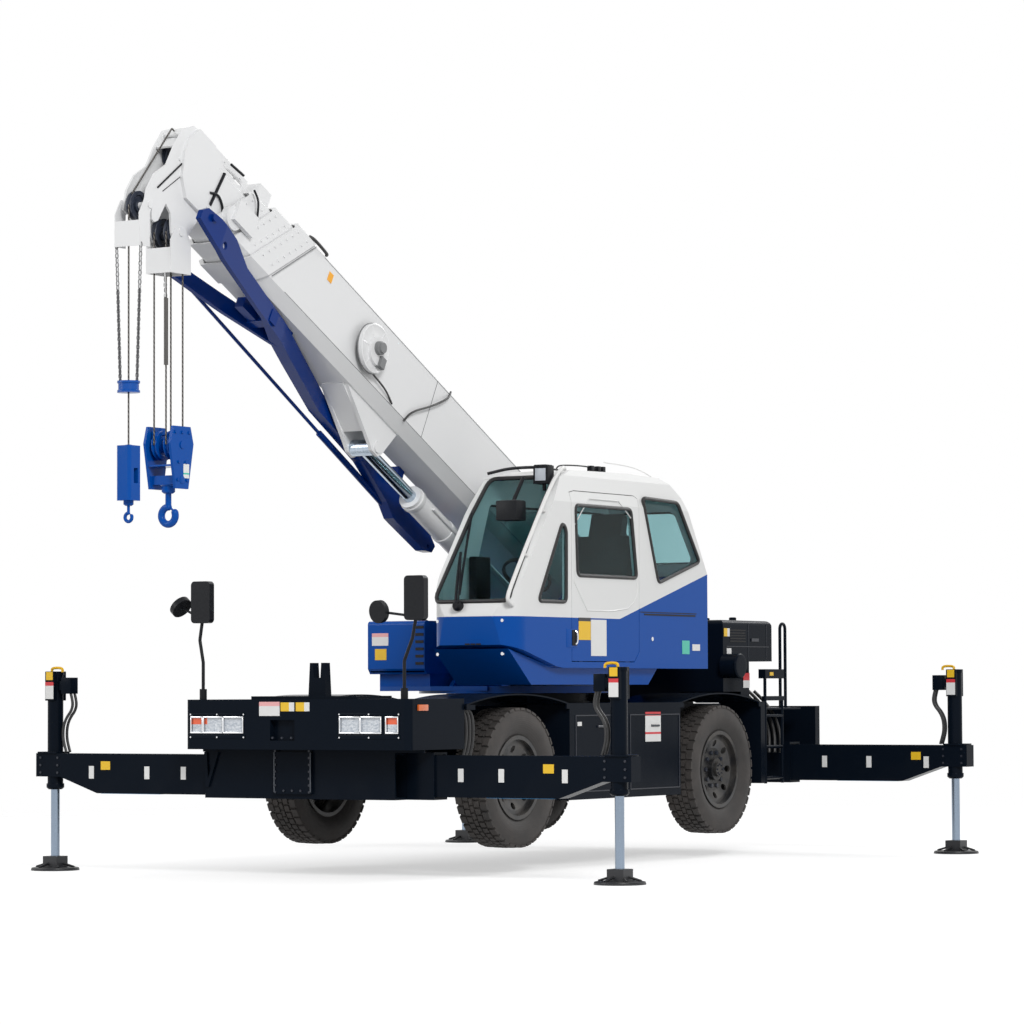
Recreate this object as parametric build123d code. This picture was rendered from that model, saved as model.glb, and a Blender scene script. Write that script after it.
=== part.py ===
from build123d import *
from math import atan2, cos, degrees, hypot, radians, sin
import os

# Two-axle city crane, parked on its outriggers with the boom over the front.
# Millimetres.  +X is the cab side (the vehicle's left), -Y is the front, +Z is up.
# Everything is laid out from the slewing axis on the ground.  The finished pieces are
# then moved along Y, so that the origin is on the ground at the middle of the machine.
ORIGIN_SHIFT = 841.2

# Fits and walls
RUNNING_FIT = 0.05     # radial clearance of a shaft in its hole
SEAT_GAP = 0.3         # between two pieces that bear on each other
SLIDE_GAP = 5.0        # round a beam in its box

# Wheels and axles
WHEELBASE = 3016.0
FRONT_AXLE_Y = -WHEELBASE / 2
REAR_AXLE_Y = WHEELBASE / 2
TRACK_HALF = 830.0     # slewing axis to the middle of a tyre
HUB_Z = 684.0          # the outriggers hold the tyres off the ground
TYRE_R = 506.0
TYRE_HALF_W = 138.0
RIM_R = 286.0          # where the tyre's bead sits
RIM_HALF_W = 108.0
RIM_FLANGE = 17.0
KINGPIN_X = 640.0
SPINDLE_R = 45.0
HUB_R = 88.0
AXLE_R = 85.0
YOKE_INNER = 70.0      # half height of the gap between the yoke's two arms
YOKE_ARM = 42.0

# Carrier
RAIL_OUTER = 390.0
RAIL_T = 70.0
FRAME_TOP = 1200.0
FRAME_LOW = 850.0      # underside over the axles
FRAME_BELLY = 600.0    # underside between the axles
SIDE_X = 980.0         # outer plane of the fenders and side lockers
SIDE_INNER = 470.0
SIDE_TOP = 1215.0
LOCKER_INNER = 610.0
LOCKER_LOW = 505.0
SKIN = 10.0
FRONT_X = 960.0
FRONT_LOW = 902.0
FRONT_TOP = 1255.0
ARCH_IN = 618.0        # axle to the end of the raised frame, toward the middle
ARCH_OUT = 612.0       # and away from it

# Outriggers: two boxes, each with two beams side by side
BEAM_W = 130.0
BEAM_LOW = 572.0
BEAM_HIGH = 862.0
BEAM_PITCH = 150.0
BOX_MOUTH = 930.0      # a channel's open end, where its beam comes out
BOX_TAIL = 705.0       # its other end
BOX_WALL = 15.0
FRONT_BOX_Y = FRONT_AXLE_Y - 1092
REAR_BOX_Y = REAR_AXLE_Y + 1367
FRONT_Y = FRONT_BOX_Y - 360
FRONT_REAR_Y = FRONT_BOX_Y + 338
JACK_X = 2370.0        # out to the jack when the beam is out
BEAM_TRAVEL = 1340.0
BRACKET_IN = 95.0      # jack axis to the bracket's inner face
BRACKET_OUT = 130.0
BRACKET_LOW = 690.0
BEAM_INNER_X = 470.0   # inner end of the beam when it is out
JACK_R = 58.0
JACK_TOP = 1440.0
JACK_LOW = 640.0
ROD_R = 32.5
FLOAT_R = 178.0
FLOAT_T = 12.0
FLOAT_HUB = 130.0
FLOAT_HUB_H = 92.0
JACK_ROD_TOP = 960.0

# Slewing ring and turntable
RING_R = 520.0
RING_BORE = 400.0
RING_TOP = 1290.0
PLATE_TOP = 1345.0
BOOM_X = -90.0         # middle plane of the boom
CHEEK_GAP = 235.0      # boom middle to the inner face of a cheek plate
CHEEK_T = 35.0
TAIL_R = 1545.0

# Boom: built level, pointing to -Y from the foot pin, then raised
PIVOT_Y = 850.0
PIVOT_Z = 2100.0
BOOM_ANGLE = 28.0
BOOM_LOW = -250.0      # underside of the base section below the foot pin
BOOM_HIGH = 360.0
BOOM_HALF_W = 210.0
BOOM_WALL = 9.0
SECTION_STEP = 30.0    # each section is this much smaller all round
SECTION_CUT = 0.74     # slope of the cut front ends
BASE_END = 4610.0      # top front edge of the base section
END_STEP = 245.0       # each inner section shows this much more
COLLAR = 235.0
COLLAR_T = 14.0
FOOT_PIN_R = 60.0

# Lift cylinder
LIFT_BASE_Y = 520.0
LIFT_BASE_Z = 1730.0
LIFT_EYE_S = 2945.0
LIFT_EYE_H = -460.0
LIFT_R = 88.0
LIFT_ROD_R = 50.0
LIFT_EYE_R = 60.0
LIFT_BARREL = 2105.0
LIFT_PIN_R = 35.0
LIFT_EYE_HALF = 90.0   # half width of the rod's eye, between the clevis plates
CLEVIS_T = 28.0

# Boom head
HEAD_SHEAVE_R = 100.0
ROPE_R = 6.0
MAIN_S = 5627.0
MAIN_H = -387.0
AUX_S = 5998.0
AUX_H = -418.0
TOP_S = 5760.0
TOP_H = 150.0
TOP_SHEAVE_R = 115.0
MAIN_PIN_R = 28.0
TOP_PIN_R = 25.0
AUX_PIN_R = 24.0
SHEAVE_HALF = 20.0
FALL_X = (-50.0, 50.0)     # rope falls each side of the boom's middle plane
HEAD_PLATE_X = 86.0
HEAD_PLATE_T = 16.0
GUARD_X = 97.0             # inner face of a rope guard, outside the head plates
GUARD_T = 8.0

# Cab
CAB_OUT = 950.0
CAB_IN = 222.0
CAB_WALL = 38.0
CAB_LOW = 1475.0
CAB_ROOF = 2965.0
PANE = 6.0

parts = {}


# Shapes used throughout

def block(x0, x1, y0, y1, z0, z1):
    """Box between its low and high limits."""
    centre = Pos((x0 + x1) / 2, (y0 + y1) / 2, (z0 + z1) / 2)
    return centre * Box(abs(x1 - x0), abs(y1 - y0), abs(z1 - z0))


def pushed_x(face, x0, x1):
    """Flat (y, z) face pushed out along X, from x0 to x1."""
    return extrude(Plane.YZ.offset(x0) * face, amount=x1 - x0, dir=(1, 0, 0))


def pushed_y(face, y0, y1):
    """Flat (x, z) face pushed out along Y, from y0 to y1."""
    return extrude(Plane.XZ.offset(-y0) * face, amount=y1 - y0, dir=(0, 1, 0))


def pushed_z(face, z0, z1):
    """Flat (x, y) face pushed up from z0 to z1."""
    return extrude(Plane.XY.offset(z0) * face, amount=z1 - z0, dir=(0, 0, 1))


def side_plate(points, x0, x1):
    """Outline of (y, z) points, from x0 to x1."""
    return pushed_x(Polygon(*points, align=None), x0, x1)


def plan_plate(points, z0, z1):
    """Outline of (x, y) points, from z0 to z1."""
    return pushed_z(Polygon(*points, align=None), z0, z1)


def front_plate(points, y0, y1):
    """Outline of (x, z) points, from y0 back to y1."""
    return pushed_y(Polygon(*points, align=None), y0, y1)


def bar_x(x0, x1, y, z, r):
    return Pos((x0 + x1) / 2, y, z) * Rot(0, 90, 0) * Cylinder(r, abs(x1 - x0))


def bar_y(x, y0, y1, z, r):
    return Pos(x, (y0 + y1) / 2, z) * Rot(90, 0, 0) * Cylinder(r, abs(y1 - y0))


def bar_z(x, y, z0, z1, r):
    return Pos(x, y, (z0 + z1) / 2) * Cylinder(r, abs(z1 - z0))


def tube_between(start, end, r):
    """Round bar between two points."""
    line = Vector(*end) - Vector(*start)
    return extrude(Plane(origin=start, z_dir=line) * Circle(r), amount=line.length)


def bent_tube(points, r, bend):
    """Round bar along straight runs joined by arcs of one radius."""
    path = FilletPolyline(*points, radius=bend)
    return sweep(Plane(origin=path @ 0, z_dir=path % 0) * Circle(r), path=path)


def mirrored(shape):
    """The same piece on the other side of the machine."""
    return mirror(shape, about=Plane.YZ)


def raised(shape):
    """Move a piece from the level boom's own axes to the raised boom."""
    return Pos(0, PIVOT_Y, PIVOT_Z) * Rot(-BOOM_ANGLE, 0, 0) * shape


def raised_point(s, h):
    """(y, z) of a point that is s along the boom and h above its foot pin."""
    tilt = radians(BOOM_ANGLE)
    y = PIVOT_Y - s * cos(tilt) + h * sin(tilt)
    z = PIVOT_Z + s * sin(tilt) + h * cos(tilt)
    return y, z


def boom_plate(points, x0, x1):
    """Outline of (s, h) points on the level boom, from x0 to x1."""
    return side_plate([(-s, h) for s, h in points], x0, x1)


# Carrier frame: two deep side rails under one top plate, with cross members

axle_ys = {"front": FRONT_AXLE_Y, "rear": REAR_AXLE_Y}
front_box_back = FRONT_BOX_Y + BEAM_PITCH / 2 + BEAM_W / 2 + SLIDE_GAP + BOX_WALL
front_box_face = 2 * FRONT_BOX_Y - front_box_back
rear_box_face = REAR_BOX_Y - (front_box_back - FRONT_BOX_Y)
rear_box_back = 2 * REAR_BOX_Y - rear_box_face
box_low = BEAM_LOW - SLIDE_GAP - BOX_WALL
box_high = BEAM_HIGH + SLIDE_GAP + BOX_WALL

rail_outline = [
    (front_box_back, FRAME_TOP), (rear_box_face, FRAME_TOP), (rear_box_face, box_low),
    (REAR_AXLE_Y + ARCH_OUT + 90, box_low), (REAR_AXLE_Y + ARCH_OUT, FRAME_LOW),
    (REAR_AXLE_Y - ARCH_IN, FRAME_LOW), (REAR_AXLE_Y - ARCH_IN - 90, FRAME_BELLY),
    (FRONT_AXLE_Y + ARCH_IN + 90, FRAME_BELLY), (FRONT_AXLE_Y + ARCH_IN, FRAME_LOW),
    (FRONT_AXLE_Y - ARCH_OUT, FRAME_LOW), (FRONT_AXLE_Y - ARCH_OUT - 90, box_low),
    (front_box_back, box_low),
]
frame = side_plate(rail_outline, -RAIL_OUTER, RAIL_OUTER)
rail_inner = RAIL_OUTER - RAIL_T
bays = [
    (front_box_back + 45, FRONT_AXLE_Y - ARCH_OUT), (FRONT_AXLE_Y - 532, FRONT_AXLE_Y + 628),
    (FRONT_AXLE_Y + 688, -30), (30, REAR_AXLE_Y - 688), (REAR_AXLE_Y - 628, REAR_AXLE_Y + 532),
    (REAR_AXLE_Y + ARCH_OUT, rear_box_face - 50),
]
for y0, y1 in bays:
    frame -= block(-rail_inner, rail_inner, y0, y1, 0, FRAME_TOP - 2 * SKIN)
parts["chassis_frame"] = frame + bar_z(0, 0, FRAME_TOP - 1, RING_TOP - 62, RING_R + 60)

# Slewing ring: the toothless outer race is fixed, the turntable stands on it
ring = bar_z(0, 0, RING_TOP - 62, RING_TOP, RING_R + 30) - bar_z(0, 0, 0, RING_TOP, RING_BORE)
parts["slewing_ring"] = ring


# Outrigger boxes: two channels each, open at both ends, one to each side

def outrigger_box(y_mid, front_side):
    """Two channels side by side; front_side is the side that the front beam comes out of."""
    reach = BEAM_W / 2 + SLIDE_GAP
    solid = Part()
    hollow = Part()
    pads = Part()
    for offset, side in ((-BEAM_PITCH / 2, front_side), (BEAM_PITCH / 2, -front_side)):
        y = y_mid + offset
        mouth = side * BOX_MOUTH
        tail = -side * BOX_TAIL
        wall = reach + BOX_WALL
        solid += block(mouth, tail, y - wall, y + wall, box_low, box_high)
        hollow += block(mouth + side, tail - side, y - reach, y + reach,
                        BEAM_LOW - SLIDE_GAP, BEAM_HIGH + SLIDE_GAP)
        for x in (mouth - side * 60, tail + side * 60):
            # Wear pads under and over the beam
            pads += block(x - 50, x + 50, y - 45, y + 45, BEAM_LOW - SLIDE_GAP, BEAM_LOW - SEAT_GAP)
            pads += block(x - 50, x + 50, y - 45, y + 45, BEAM_HIGH + SEAT_GAP, BEAM_HIGH + SLIDE_GAP)
    return solid - hollow + pads


front_box = outrigger_box(FRONT_BOX_Y, -1)
# A plate with two bolted edges over the middle, and a rib at each end
front_box += block(-308, 10, front_box_face - 22, front_box_face, box_low + 35, box_high)
rib_face = front_box_face - 16
front_box += front_plate([(-915, 630), (-890, 630), (-800, 880), (-825, 880)], rib_face, front_box_face)
front_box += front_plate([(-915, 630), (-890, 630), (-905, 880), (-928, 880)], rib_face, front_box_face)
parts["front_outrigger_box"] = front_box
rear_box = outrigger_box(REAR_BOX_Y, 1)
rear_panel = block(-1000, 1000, rear_box_back, rear_box_back + 75, 830, 1175)
rear_panel -= block(-985, 985, rear_box_back + SKIN, rear_box_back + 90, 845, 1160)
parts["rear_outrigger_box"] = rear_box + rear_panel

# Outrigger beams with their jack tubes, and the jack legs
#         name           side  y of the beam
corners = [
    ("front_left", 1, FRONT_BOX_Y + BEAM_PITCH / 2),
    ("front_right", -1, FRONT_BOX_Y - BEAM_PITCH / 2),
    ("rear_left", 1, REAR_BOX_Y - BEAM_PITCH / 2),
    ("rear_right", -1, REAR_BOX_Y + BEAM_PITCH / 2),
]


def outrigger_beam(y):
    bracket_x = JACK_X - BRACKET_IN
    outline = [
        (BEAM_INNER_X, BEAM_LOW), (bracket_x - 345, BEAM_LOW), (bracket_x, BRACKET_LOW),
        (bracket_x, BEAM_HIGH), (BEAM_INNER_X, BEAM_HIGH),
    ]
    wall = 12
    core = [
        (BEAM_INNER_X - 1, BEAM_LOW + wall), (bracket_x - 350, BEAM_LOW + wall),
        (bracket_x - wall, BRACKET_LOW + wall), (bracket_x - wall, BEAM_HIGH - wall),
        (BEAM_INNER_X - 1, BEAM_HIGH - wall),
    ]
    beam = front_plate(outline, y - BEAM_W / 2, y + BEAM_W / 2)
    beam -= front_plate(core, y - BEAM_W / 2 + wall, y + BEAM_W / 2 - wall)
    beam += block(bracket_x, JACK_X + BRACKET_OUT, y - BEAM_W / 2, y + BEAM_W / 2, BRACKET_LOW, BEAM_HIGH)
    beam += bar_z(JACK_X, y, JACK_LOW, JACK_TOP, JACK_R)
    beam += bar_z(JACK_X, y, JACK_TOP, JACK_TOP + 25, JACK_R + 6)
    return beam - bar_z(JACK_X, y, 0, JACK_TOP - 20, ROD_R + RUNNING_FIT)


def jack_leg(y):
    hub = FLOAT_HUB / 2
    leg = bar_z(JACK_X, y, 0, FLOAT_T, FLOAT_R)
    leg += block(JACK_X - hub, JACK_X + hub, y - hub, y + hub, FLOAT_T, FLOAT_T + FLOAT_HUB_H)
    return leg + bar_z(JACK_X, y, FLOAT_T, JACK_ROD_TOP, ROD_R)


for name, side, y in corners:
    beam = outrigger_beam(y)
    leg = jack_leg(y)
    parts[name + "_outrigger_beam"] = beam if side > 0 else mirrored(beam)
    parts[name + "_jack_leg"] = leg if side > 0 else mirrored(leg)


# Axles: a tube with a gear casing in the middle and a yoke at each end, on leaf springs

def axle(y):
    body = bar_x(-KINGPIN_X + 95, KINGPIN_X - 95, y, HUB_Z, AXLE_R)
    casing = bar_x(-30, 150, y, HUB_Z, 150)
    body += chamfer(casing.edges(), 40)
    for side in (-1, 1):
        x = side * KINGPIN_X
        arms = bar_z(x, y, HUB_Z - YOKE_INNER - YOKE_ARM, HUB_Z + YOKE_INNER + YOKE_ARM, 55)
        arms += block(x - side * 110, x, y - 55, y + 55,
                      HUB_Z - YOKE_INNER - YOKE_ARM, HUB_Z + YOKE_INNER + YOKE_ARM)
        arms -= block(x - side * 72, x + side * 60, y - 60, y + 60,
                      HUB_Z - YOKE_INNER, HUB_Z + YOKE_INNER)
        body += arms
        x_spring = side * (rail_inner + RAIL_T / 2)
        eye_top = FRAME_LOW - 12
        eye_low = FRAME_LOW - 30
        leaf = Polyline((y - 560, eye_low), (y - 560, eye_top))
        arc_top = ThreePointArc((y - 560, eye_top), (y, HUB_Z + AXLE_R + 34), (y + 560, eye_top))
        drop = Polyline((y + 560, eye_top), (y + 560, eye_low))
        arc_low = ThreePointArc((y + 560, eye_low), (y, HUB_Z + AXLE_R - 6), (y - 560, eye_low))
        section = make_face([leaf, arc_top, drop, arc_low])
        body += pushed_x(section, x_spring - 35, x_spring + 35)
        for end in (-1, 1):
            body += block(x_spring - 30, x_spring + 30, y + end * 540 - 20, y + end * 540 + 20,
                          FRAME_LOW - 30, FRAME_LOW)
    return body


def knuckle(y):
    """Left knuckle: kingpin boss, wheel spindle and steering arm."""
    boss = bar_z(KINGPIN_X, y, HUB_Z - YOKE_INNER + SEAT_GAP, HUB_Z + YOKE_INNER - SEAT_GAP, 55)
    boss += bar_x(KINGPIN_X, TRACK_HALF - 80, y, HUB_Z, 60)
    boss += bar_x(KINGPIN_X, TRACK_HALF + 60, y, HUB_Z, SPINDLE_R)
    inward = -1 if y > 0 else 1
    boss += block(KINGPIN_X - 24, KINGPIN_X + 24, y, y + inward * 200, HUB_Z - 45, HUB_Z - 15)
    return boss


def tyre_solid():
    """Tyre about the X axis, middle plane at x = 0."""
    bead = RIM_HALF_W - 14
    wall_foot = RIM_R + RIM_FLANGE + 4
    wall = TYRE_HALF_W
    edge = [
        Line((-bead, RIM_R + SEAT_GAP), (bead, RIM_R + SEAT_GAP)),
        Line((bead, RIM_R + SEAT_GAP), (bead, wall_foot)),
        ThreePointArc((bead, wall_foot), (wall, 392), (wall - 12, 470)),
        ThreePointArc((wall - 12, 470), (wall - 22, TYRE_R - 14), (wall - 40, TYRE_R - 5)),
        ThreePointArc((wall - 40, TYRE_R - 5), (0, TYRE_R), (-wall + 40, TYRE_R - 5)),
        ThreePointArc((-wall + 40, TYRE_R - 5), (-wall + 22, TYRE_R - 14), (-wall + 12, 470)),
        ThreePointArc((-wall + 12, 470), (-wall, 392), (-bead, wall_foot)),
        Line((-bead, wall_foot), (-bead, RIM_R + SEAT_GAP)),
    ]
    return revolve(make_face(edge), axis=Axis.X)


def rim_solid():
    """Disc wheel with its hub about the X axis, outer side to +X."""
    bead = RIM_HALF_W - 14
    inner = RIM_R - 12
    barrel = [
        (-RIM_HALF_W, inner), (RIM_HALF_W, inner), (RIM_HALF_W, RIM_R + RIM_FLANGE),
        (RIM_HALF_W - 9, RIM_R + RIM_FLANGE), (bead + 1, RIM_R), (-bead - 1, RIM_R),
        (-RIM_HALF_W + 9, RIM_R + RIM_FLANGE), (-RIM_HALF_W, RIM_R + RIM_FLANGE),
    ]
    wheel = revolve(Polygon(*barrel, align=None), axis=Axis.X)
    disc = [
        (30, HUB_R - 2), (44, HUB_R - 2), (44, 170), (72, 235), (72, inner + 1), (58, inner + 1),
        (58, 240), (30, 176),
    ]
    wheel += revolve(Polygon(*disc, align=None), axis=Axis.X)
    for turn in range(0, 360, 45):
        hole = Pos(60, 0, 205) * Rot(0, 90, 0) * Cylinder(26, 80)
        wheel -= Rot(turn, 0, 0) * hole
    wheel += bar_x(-60, 80, 0, 0, HUB_R) + bar_x(80, 104, 0, 0, 58)
    return wheel - bar_x(-61, 62, 0, 0, SPINDLE_R + RUNNING_FIT)


tyre = tyre_solid()
rim = rim_solid()
for end, y in axle_ys.items():
    parts[end + "_axle"] = axle(y)
    left_knuckle = knuckle(y)
    parts[end + "_left_knuckle"] = left_knuckle
    parts[end + "_right_knuckle"] = mirrored(left_knuckle)
    for side_name, side, turn in (("left", 1, 0), ("right", -1, 180)):
        place = Pos(side * TRACK_HALF, y, HUB_Z) * Rot(0, 0, turn)
        parts[end + "_" + side_name + "_tyre"] = place * tyre
        parts[end + "_" + side_name + "_rim"] = place * rim

# Front body: a hollow nose over the front outrigger box, with a deck and the boom rest
nose = block(-FRONT_X, FRONT_X, FRONT_Y, FRONT_REAR_Y, FRONT_LOW, FRONT_TOP)
nose = fillet(nose.edges().filter_by(Axis.Z).group_by(Axis.Y)[0], 45)
nose_in = FRONT_X - SKIN
nose -= block(-nose_in, nose_in, FRONT_Y + 60, FRONT_REAR_Y + 1, FRONT_LOW - 1, FRONT_TOP - SKIN)
lamp_slots = [(-785, -620), (-615, -450), (390, 555), (560, 725)]
lamp_z = (1025, 1125)
for x0, x1 in lamp_slots:
    nose -= block(x0, x1, FRONT_Y - 1, FRONT_Y + 40, *lamp_z)
marker_slots = [(-895, -805), (775, 865)]
for x0, x1 in marker_slots:
    nose -= block(x0, x1, FRONT_Y - 1, FRONT_Y + 40, *lamp_z)
nose -= block(-215, -5, FRONT_Y - 1, FRONT_Y + 50, 965, 1110)
nose += block(-450, 460, -2860, -2430, FRONT_TOP, FRONT_TOP + 22)
fork = [(-75, 0), (75, 0), (62, 235), (35, 235), (28, 130), (-28, 130), (-35, 235), (-62, 235)]
fork = [(x, FRONT_TOP + 21 + z) for x, z in fork]
nose += front_plate(fork, -2690, -2620)
nose += block(-nose_in, nose_in, front_box_face, front_box_face + 12, box_high, FRONT_TOP - SKIN)
parts["front_body"] = nose

lamps = Part()
for x0, x1 in lamp_slots:
    lamps += block(x0 + SEAT_GAP, x1 - SEAT_GAP, FRONT_Y + 4, FRONT_Y + 40 - SEAT_GAP,
                   lamp_z[0] + SEAT_GAP, lamp_z[1] - SEAT_GAP)
for x0, x1 in marker_slots:
    lamps += block(x0 + SEAT_GAP, x1 - SEAT_GAP, FRONT_Y + 4, FRONT_Y + 40 - SEAT_GAP,
                     lamp_z[0] + SEAT_GAP, lamp_z[1] - SEAT_GAP)
lamp_back = rear_box_back + SKIN + SEAT_GAP
for x in (-900, -640, 640, 900):
    lamps += block(x - 75, x + 75, lamp_back, lamp_back + 45, 1010, 1110)
parts["lamps"] = lamps


# Side bodies: a flat top with a raised arch over each wheel, and a locker between

def side_body():
    locker_front = FRONT_AXLE_Y + 648
    locker_rear = REAR_AXLE_Y - ARCH_IN - 90
    rear_end = REAR_AXLE_Y + ARCH_OUT
    rise = 72
    (y0, y1), (y2, y3) = (FRONT_REAR_Y, locker_front - 2), (locker_rear, rear_end)
    top = [
        ThreePointArc((y0, SIDE_TOP), ((y0 + y1) / 2, SIDE_TOP + rise), (y1, SIDE_TOP)),
        Line((y1, SIDE_TOP), (y2, SIDE_TOP)),
        ThreePointArc((y2, SIDE_TOP), ((y2 + y3) / 2, SIDE_TOP + rise), (y3, SIDE_TOP)),
        Line((y3, SIDE_TOP), (y3, SIDE_TOP - SKIN)),
        ThreePointArc((y3, SIDE_TOP - SKIN), ((y2 + y3) / 2, SIDE_TOP + rise - SKIN), (y2, SIDE_TOP - SKIN)),
        Line((y2, SIDE_TOP - SKIN), (y1, SIDE_TOP - SKIN)),
        ThreePointArc((y1, SIDE_TOP - SKIN), ((y0 + y1) / 2, SIDE_TOP + rise - SKIN), (y0, SIDE_TOP - SKIN)),
        Line((y0, SIDE_TOP - SKIN), (y0, SIDE_TOP)),
    ]
    sheet = pushed_x(make_face(top), RAIL_OUTER, SIDE_X)
    sheet -= bar_z(0, 0, FRAME_TOP, RING_TOP, RING_R + 60 + SEAT_GAP)
    locker = block(LOCKER_INNER, SIDE_X, locker_front, locker_rear, LOCKER_LOW, SIDE_TOP - SKIN)
    locker -= block(LOCKER_INNER + SKIN, SIDE_X - SKIN, locker_front + SKIN, locker_rear - SKIN,
                    LOCKER_LOW + SKIN, SIDE_TOP - 2 * SKIN)
    shelf = block(RAIL_OUTER, LOCKER_INNER, -300, 300, FRAME_BELLY + 100, FRAME_BELLY + 140)
    tail = block(LOCKER_INNER, SIDE_X, rear_end, rear_end + 70, 560, SIDE_TOP)
    lip = block(SIDE_X - 12, SIDE_X, FRONT_REAR_Y, rear_end, SIDE_TOP - 40, SIDE_TOP - 5)
    lip -= block(SIDE_X - 20, SIDE_X + 1, y0 + 112, y1 - 38, SIDE_TOP - 41, SIDE_TOP)
    lip -= block(SIDE_X - 20, SIDE_X + 1, y2 + 60, y3 - 30, SIDE_TOP - 41, SIDE_TOP)
    return sheet + locker + shelf + tail + lip


left_side = side_body()
parts["left_side_body"] = left_side
parts["right_side_body"] = mirrored(left_side)

# Engine hood, engine and air cleaner
HOOD_FRONT = REAR_AXLE_Y + 317
HOOD_STEP = HOOD_FRONT + 425     # behind here the hood is open underneath
HOOD_REAR = HOOD_FRONT + 830
HOOD_X = 800.0
HOOD_TOP = 1870.0
hood = block(-HOOD_X, HOOD_X, HOOD_FRONT, HOOD_REAR, SIDE_TOP, HOOD_TOP)
hood = fillet(hood.edges().group_by(Axis.Z)[-1], 45)
hood_in = HOOD_X - SKIN
hood -= block(-hood_in, hood_in, HOOD_FRONT + SKIN, HOOD_REAR - SKIN, SIDE_TOP - 1, HOOD_TOP - SKIN - 40)
hood -= block(-HOOD_X - 1, HOOD_X + 1, HOOD_STEP, HOOD_REAR + 1, SIDE_TOP - 1, 1540)
hood += block(-HOOD_X, HOOD_X, HOOD_STEP, HOOD_STEP + 12, SIDE_TOP, 1560)
hood -= left_side + mirrored(left_side)
hood -= block(-HOOD_X, HOOD_X, HOOD_FRONT - 225, REAR_AXLE_Y + ARCH_OUT, 0, SIDE_TOP + 80)
hood += block(-RAIL_OUTER, RAIL_OUTER, HOOD_FRONT, HOOD_FRONT + SKIN, FRAME_TOP, SIDE_TOP + 81)
for side in (-1, 1):
    hood += block(side * 360 - 25, side * 360 + 25, HOOD_REAR - 55, HOOD_REAR - 5, FRAME_TOP, 1560)
parts["engine_hood"] = hood
parts["engine_block"] = block(-300, 300, HOOD_FRONT + 35, HOOD_STEP - 20, FRAME_TOP, 1720)
drum = bar_x(560, 925, HOOD_FRONT + 33, 1500, 98)
drum += bar_x(925, 940, HOOD_FRONT + 33, 1500, 60)
parts["air_cleaner"] = drum - block(0, HOOD_X + SEAT_GAP, HOOD_FRONT - 100, HOOD_FRONT + 150, 1300, 1700)

# Ladder and hand hoop at the rear left corner
rail_r = 13.0
step_y = REAR_AXLE_Y + 732
hoop_y = REAR_BOX_Y - 75
ladder = bar_z(955, step_y, 555, 1440, rail_r) + bar_z(955, step_y + 290, 555, 1240, rail_r)
for z in (600, 850, 1100):
    ladder += bar_y(955, step_y, step_y + 290, z, rail_r)
hoop = [(800, hoop_y, 1150), (800, hoop_y, 1850), (800, hoop_y + 90, 1850), (800, hoop_y + 90, 1150)]
ladder += bent_tube(hoop, rail_r, 44)
ladder += block(600, 960, step_y - 50, hoop_y + 50, 1150, 1165)
# A marker shelf on the front rail and a step bar under it
ladder += block(905, 968, step_y - 15, step_y + 310, 1400, 1475)
ladder += block(930, 968, step_y - 5, step_y + 325, 1222, 1258)
parts["rear_ladder"] = ladder

# Mirrors on bent stalks
# columns: base x, base y, stalk bend x, mirror x, low z, high z, round mirror x, round z, its axis
mirror_rows = [
    (-880, FRONT_Y + 110, -910, -885, 1800, 2100, -1080, 1920, (-0.76, 0.1, 0.64)),
    (780, FRONT_Y + 210, 850, 880, 1800, 2110, 570, 1863, (0.2, 1, 0.1)),
]
mirror_set = Part()
for base_x, base_y, bend_x, head_x, low, high, round_x, round_z, axis in mirror_rows:
    mirror_set += bar_z(base_x, base_y, FRONT_TOP, FRONT_TOP + 75, 26)
    stalk = [
        (base_x, base_y, FRONT_TOP + 60), (base_x, base_y, 1520), (bend_x, base_y, 1680),
        (head_x, base_y, low + 30),
    ]
    mirror_set += bent_tube(stalk, 12, 60)
    head = block(head_x - 83, head_x + 83, base_y - 30, base_y + 25, low, high)
    mirror_set += fillet(head.edges().filter_by(Axis.Y), 30)
    mirror_set += tube_between((head_x, base_y, low + 25), (round_x, base_y, round_z), 9)
    round_place = Plane(origin=(round_x, base_y, round_z), z_dir=axis)
    mirror_set += extrude(round_place * Circle(80), amount=20, both=True)
parts["mirrors"] = mirror_set

# Turntable: round plate, cab tray, two cheek plates for the boom foot and the lift cylinder
cheek_in = (BOOM_X - CHEEK_GAP, BOOM_X + CHEEK_GAP)
plate = bar_z(0, 0, RING_TOP + SEAT_GAP, PLATE_TOP, 760)
plate += plan_plate([(-900, -560), (-300, -760), (200, -760), (200, 1200), (-900, 1100)], 1310, PLATE_TOP)
tray = [(-1565, 1612), (-1250, 1352), (-870, 1352), (460, 1352), (600, CAB_LOW), (-900, CAB_LOW),
        (-1000, 1488)]
cheek = [(-420, PLATE_TOP - 1), (-100, 1640), (500, 2130), (700, 2290), (1000, 2290), (1150, 2080),
         (1290, 1500), (1290, PLATE_TOP - 1)]
turntable = plate + side_plate(tray, CAB_IN + 30, CAB_OUT - 60)
turntable += block(CAB_IN - 20, CAB_IN + 60, -560, 900, PLATE_TOP - 1, CAB_LOW)
for x in (cheek_in[0] - CHEEK_T, cheek_in[1]):
    turntable += side_plate(cheek, x, x + CHEEK_T)
for y, z, r in ((PIVOT_Y, PIVOT_Z, FOOT_PIN_R), (LIFT_BASE_Y, LIFT_BASE_Z, LIFT_PIN_R)):
    turntable += bar_x(cheek_in[0] - CHEEK_T - 20, cheek_in[1] + CHEEK_T + 20, y, z, r)
turntable += block(cheek_in[0], cheek_in[1], 1250, 1290, PLATE_TOP - 1, 1800)
parts["turntable"] = turntable

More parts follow.
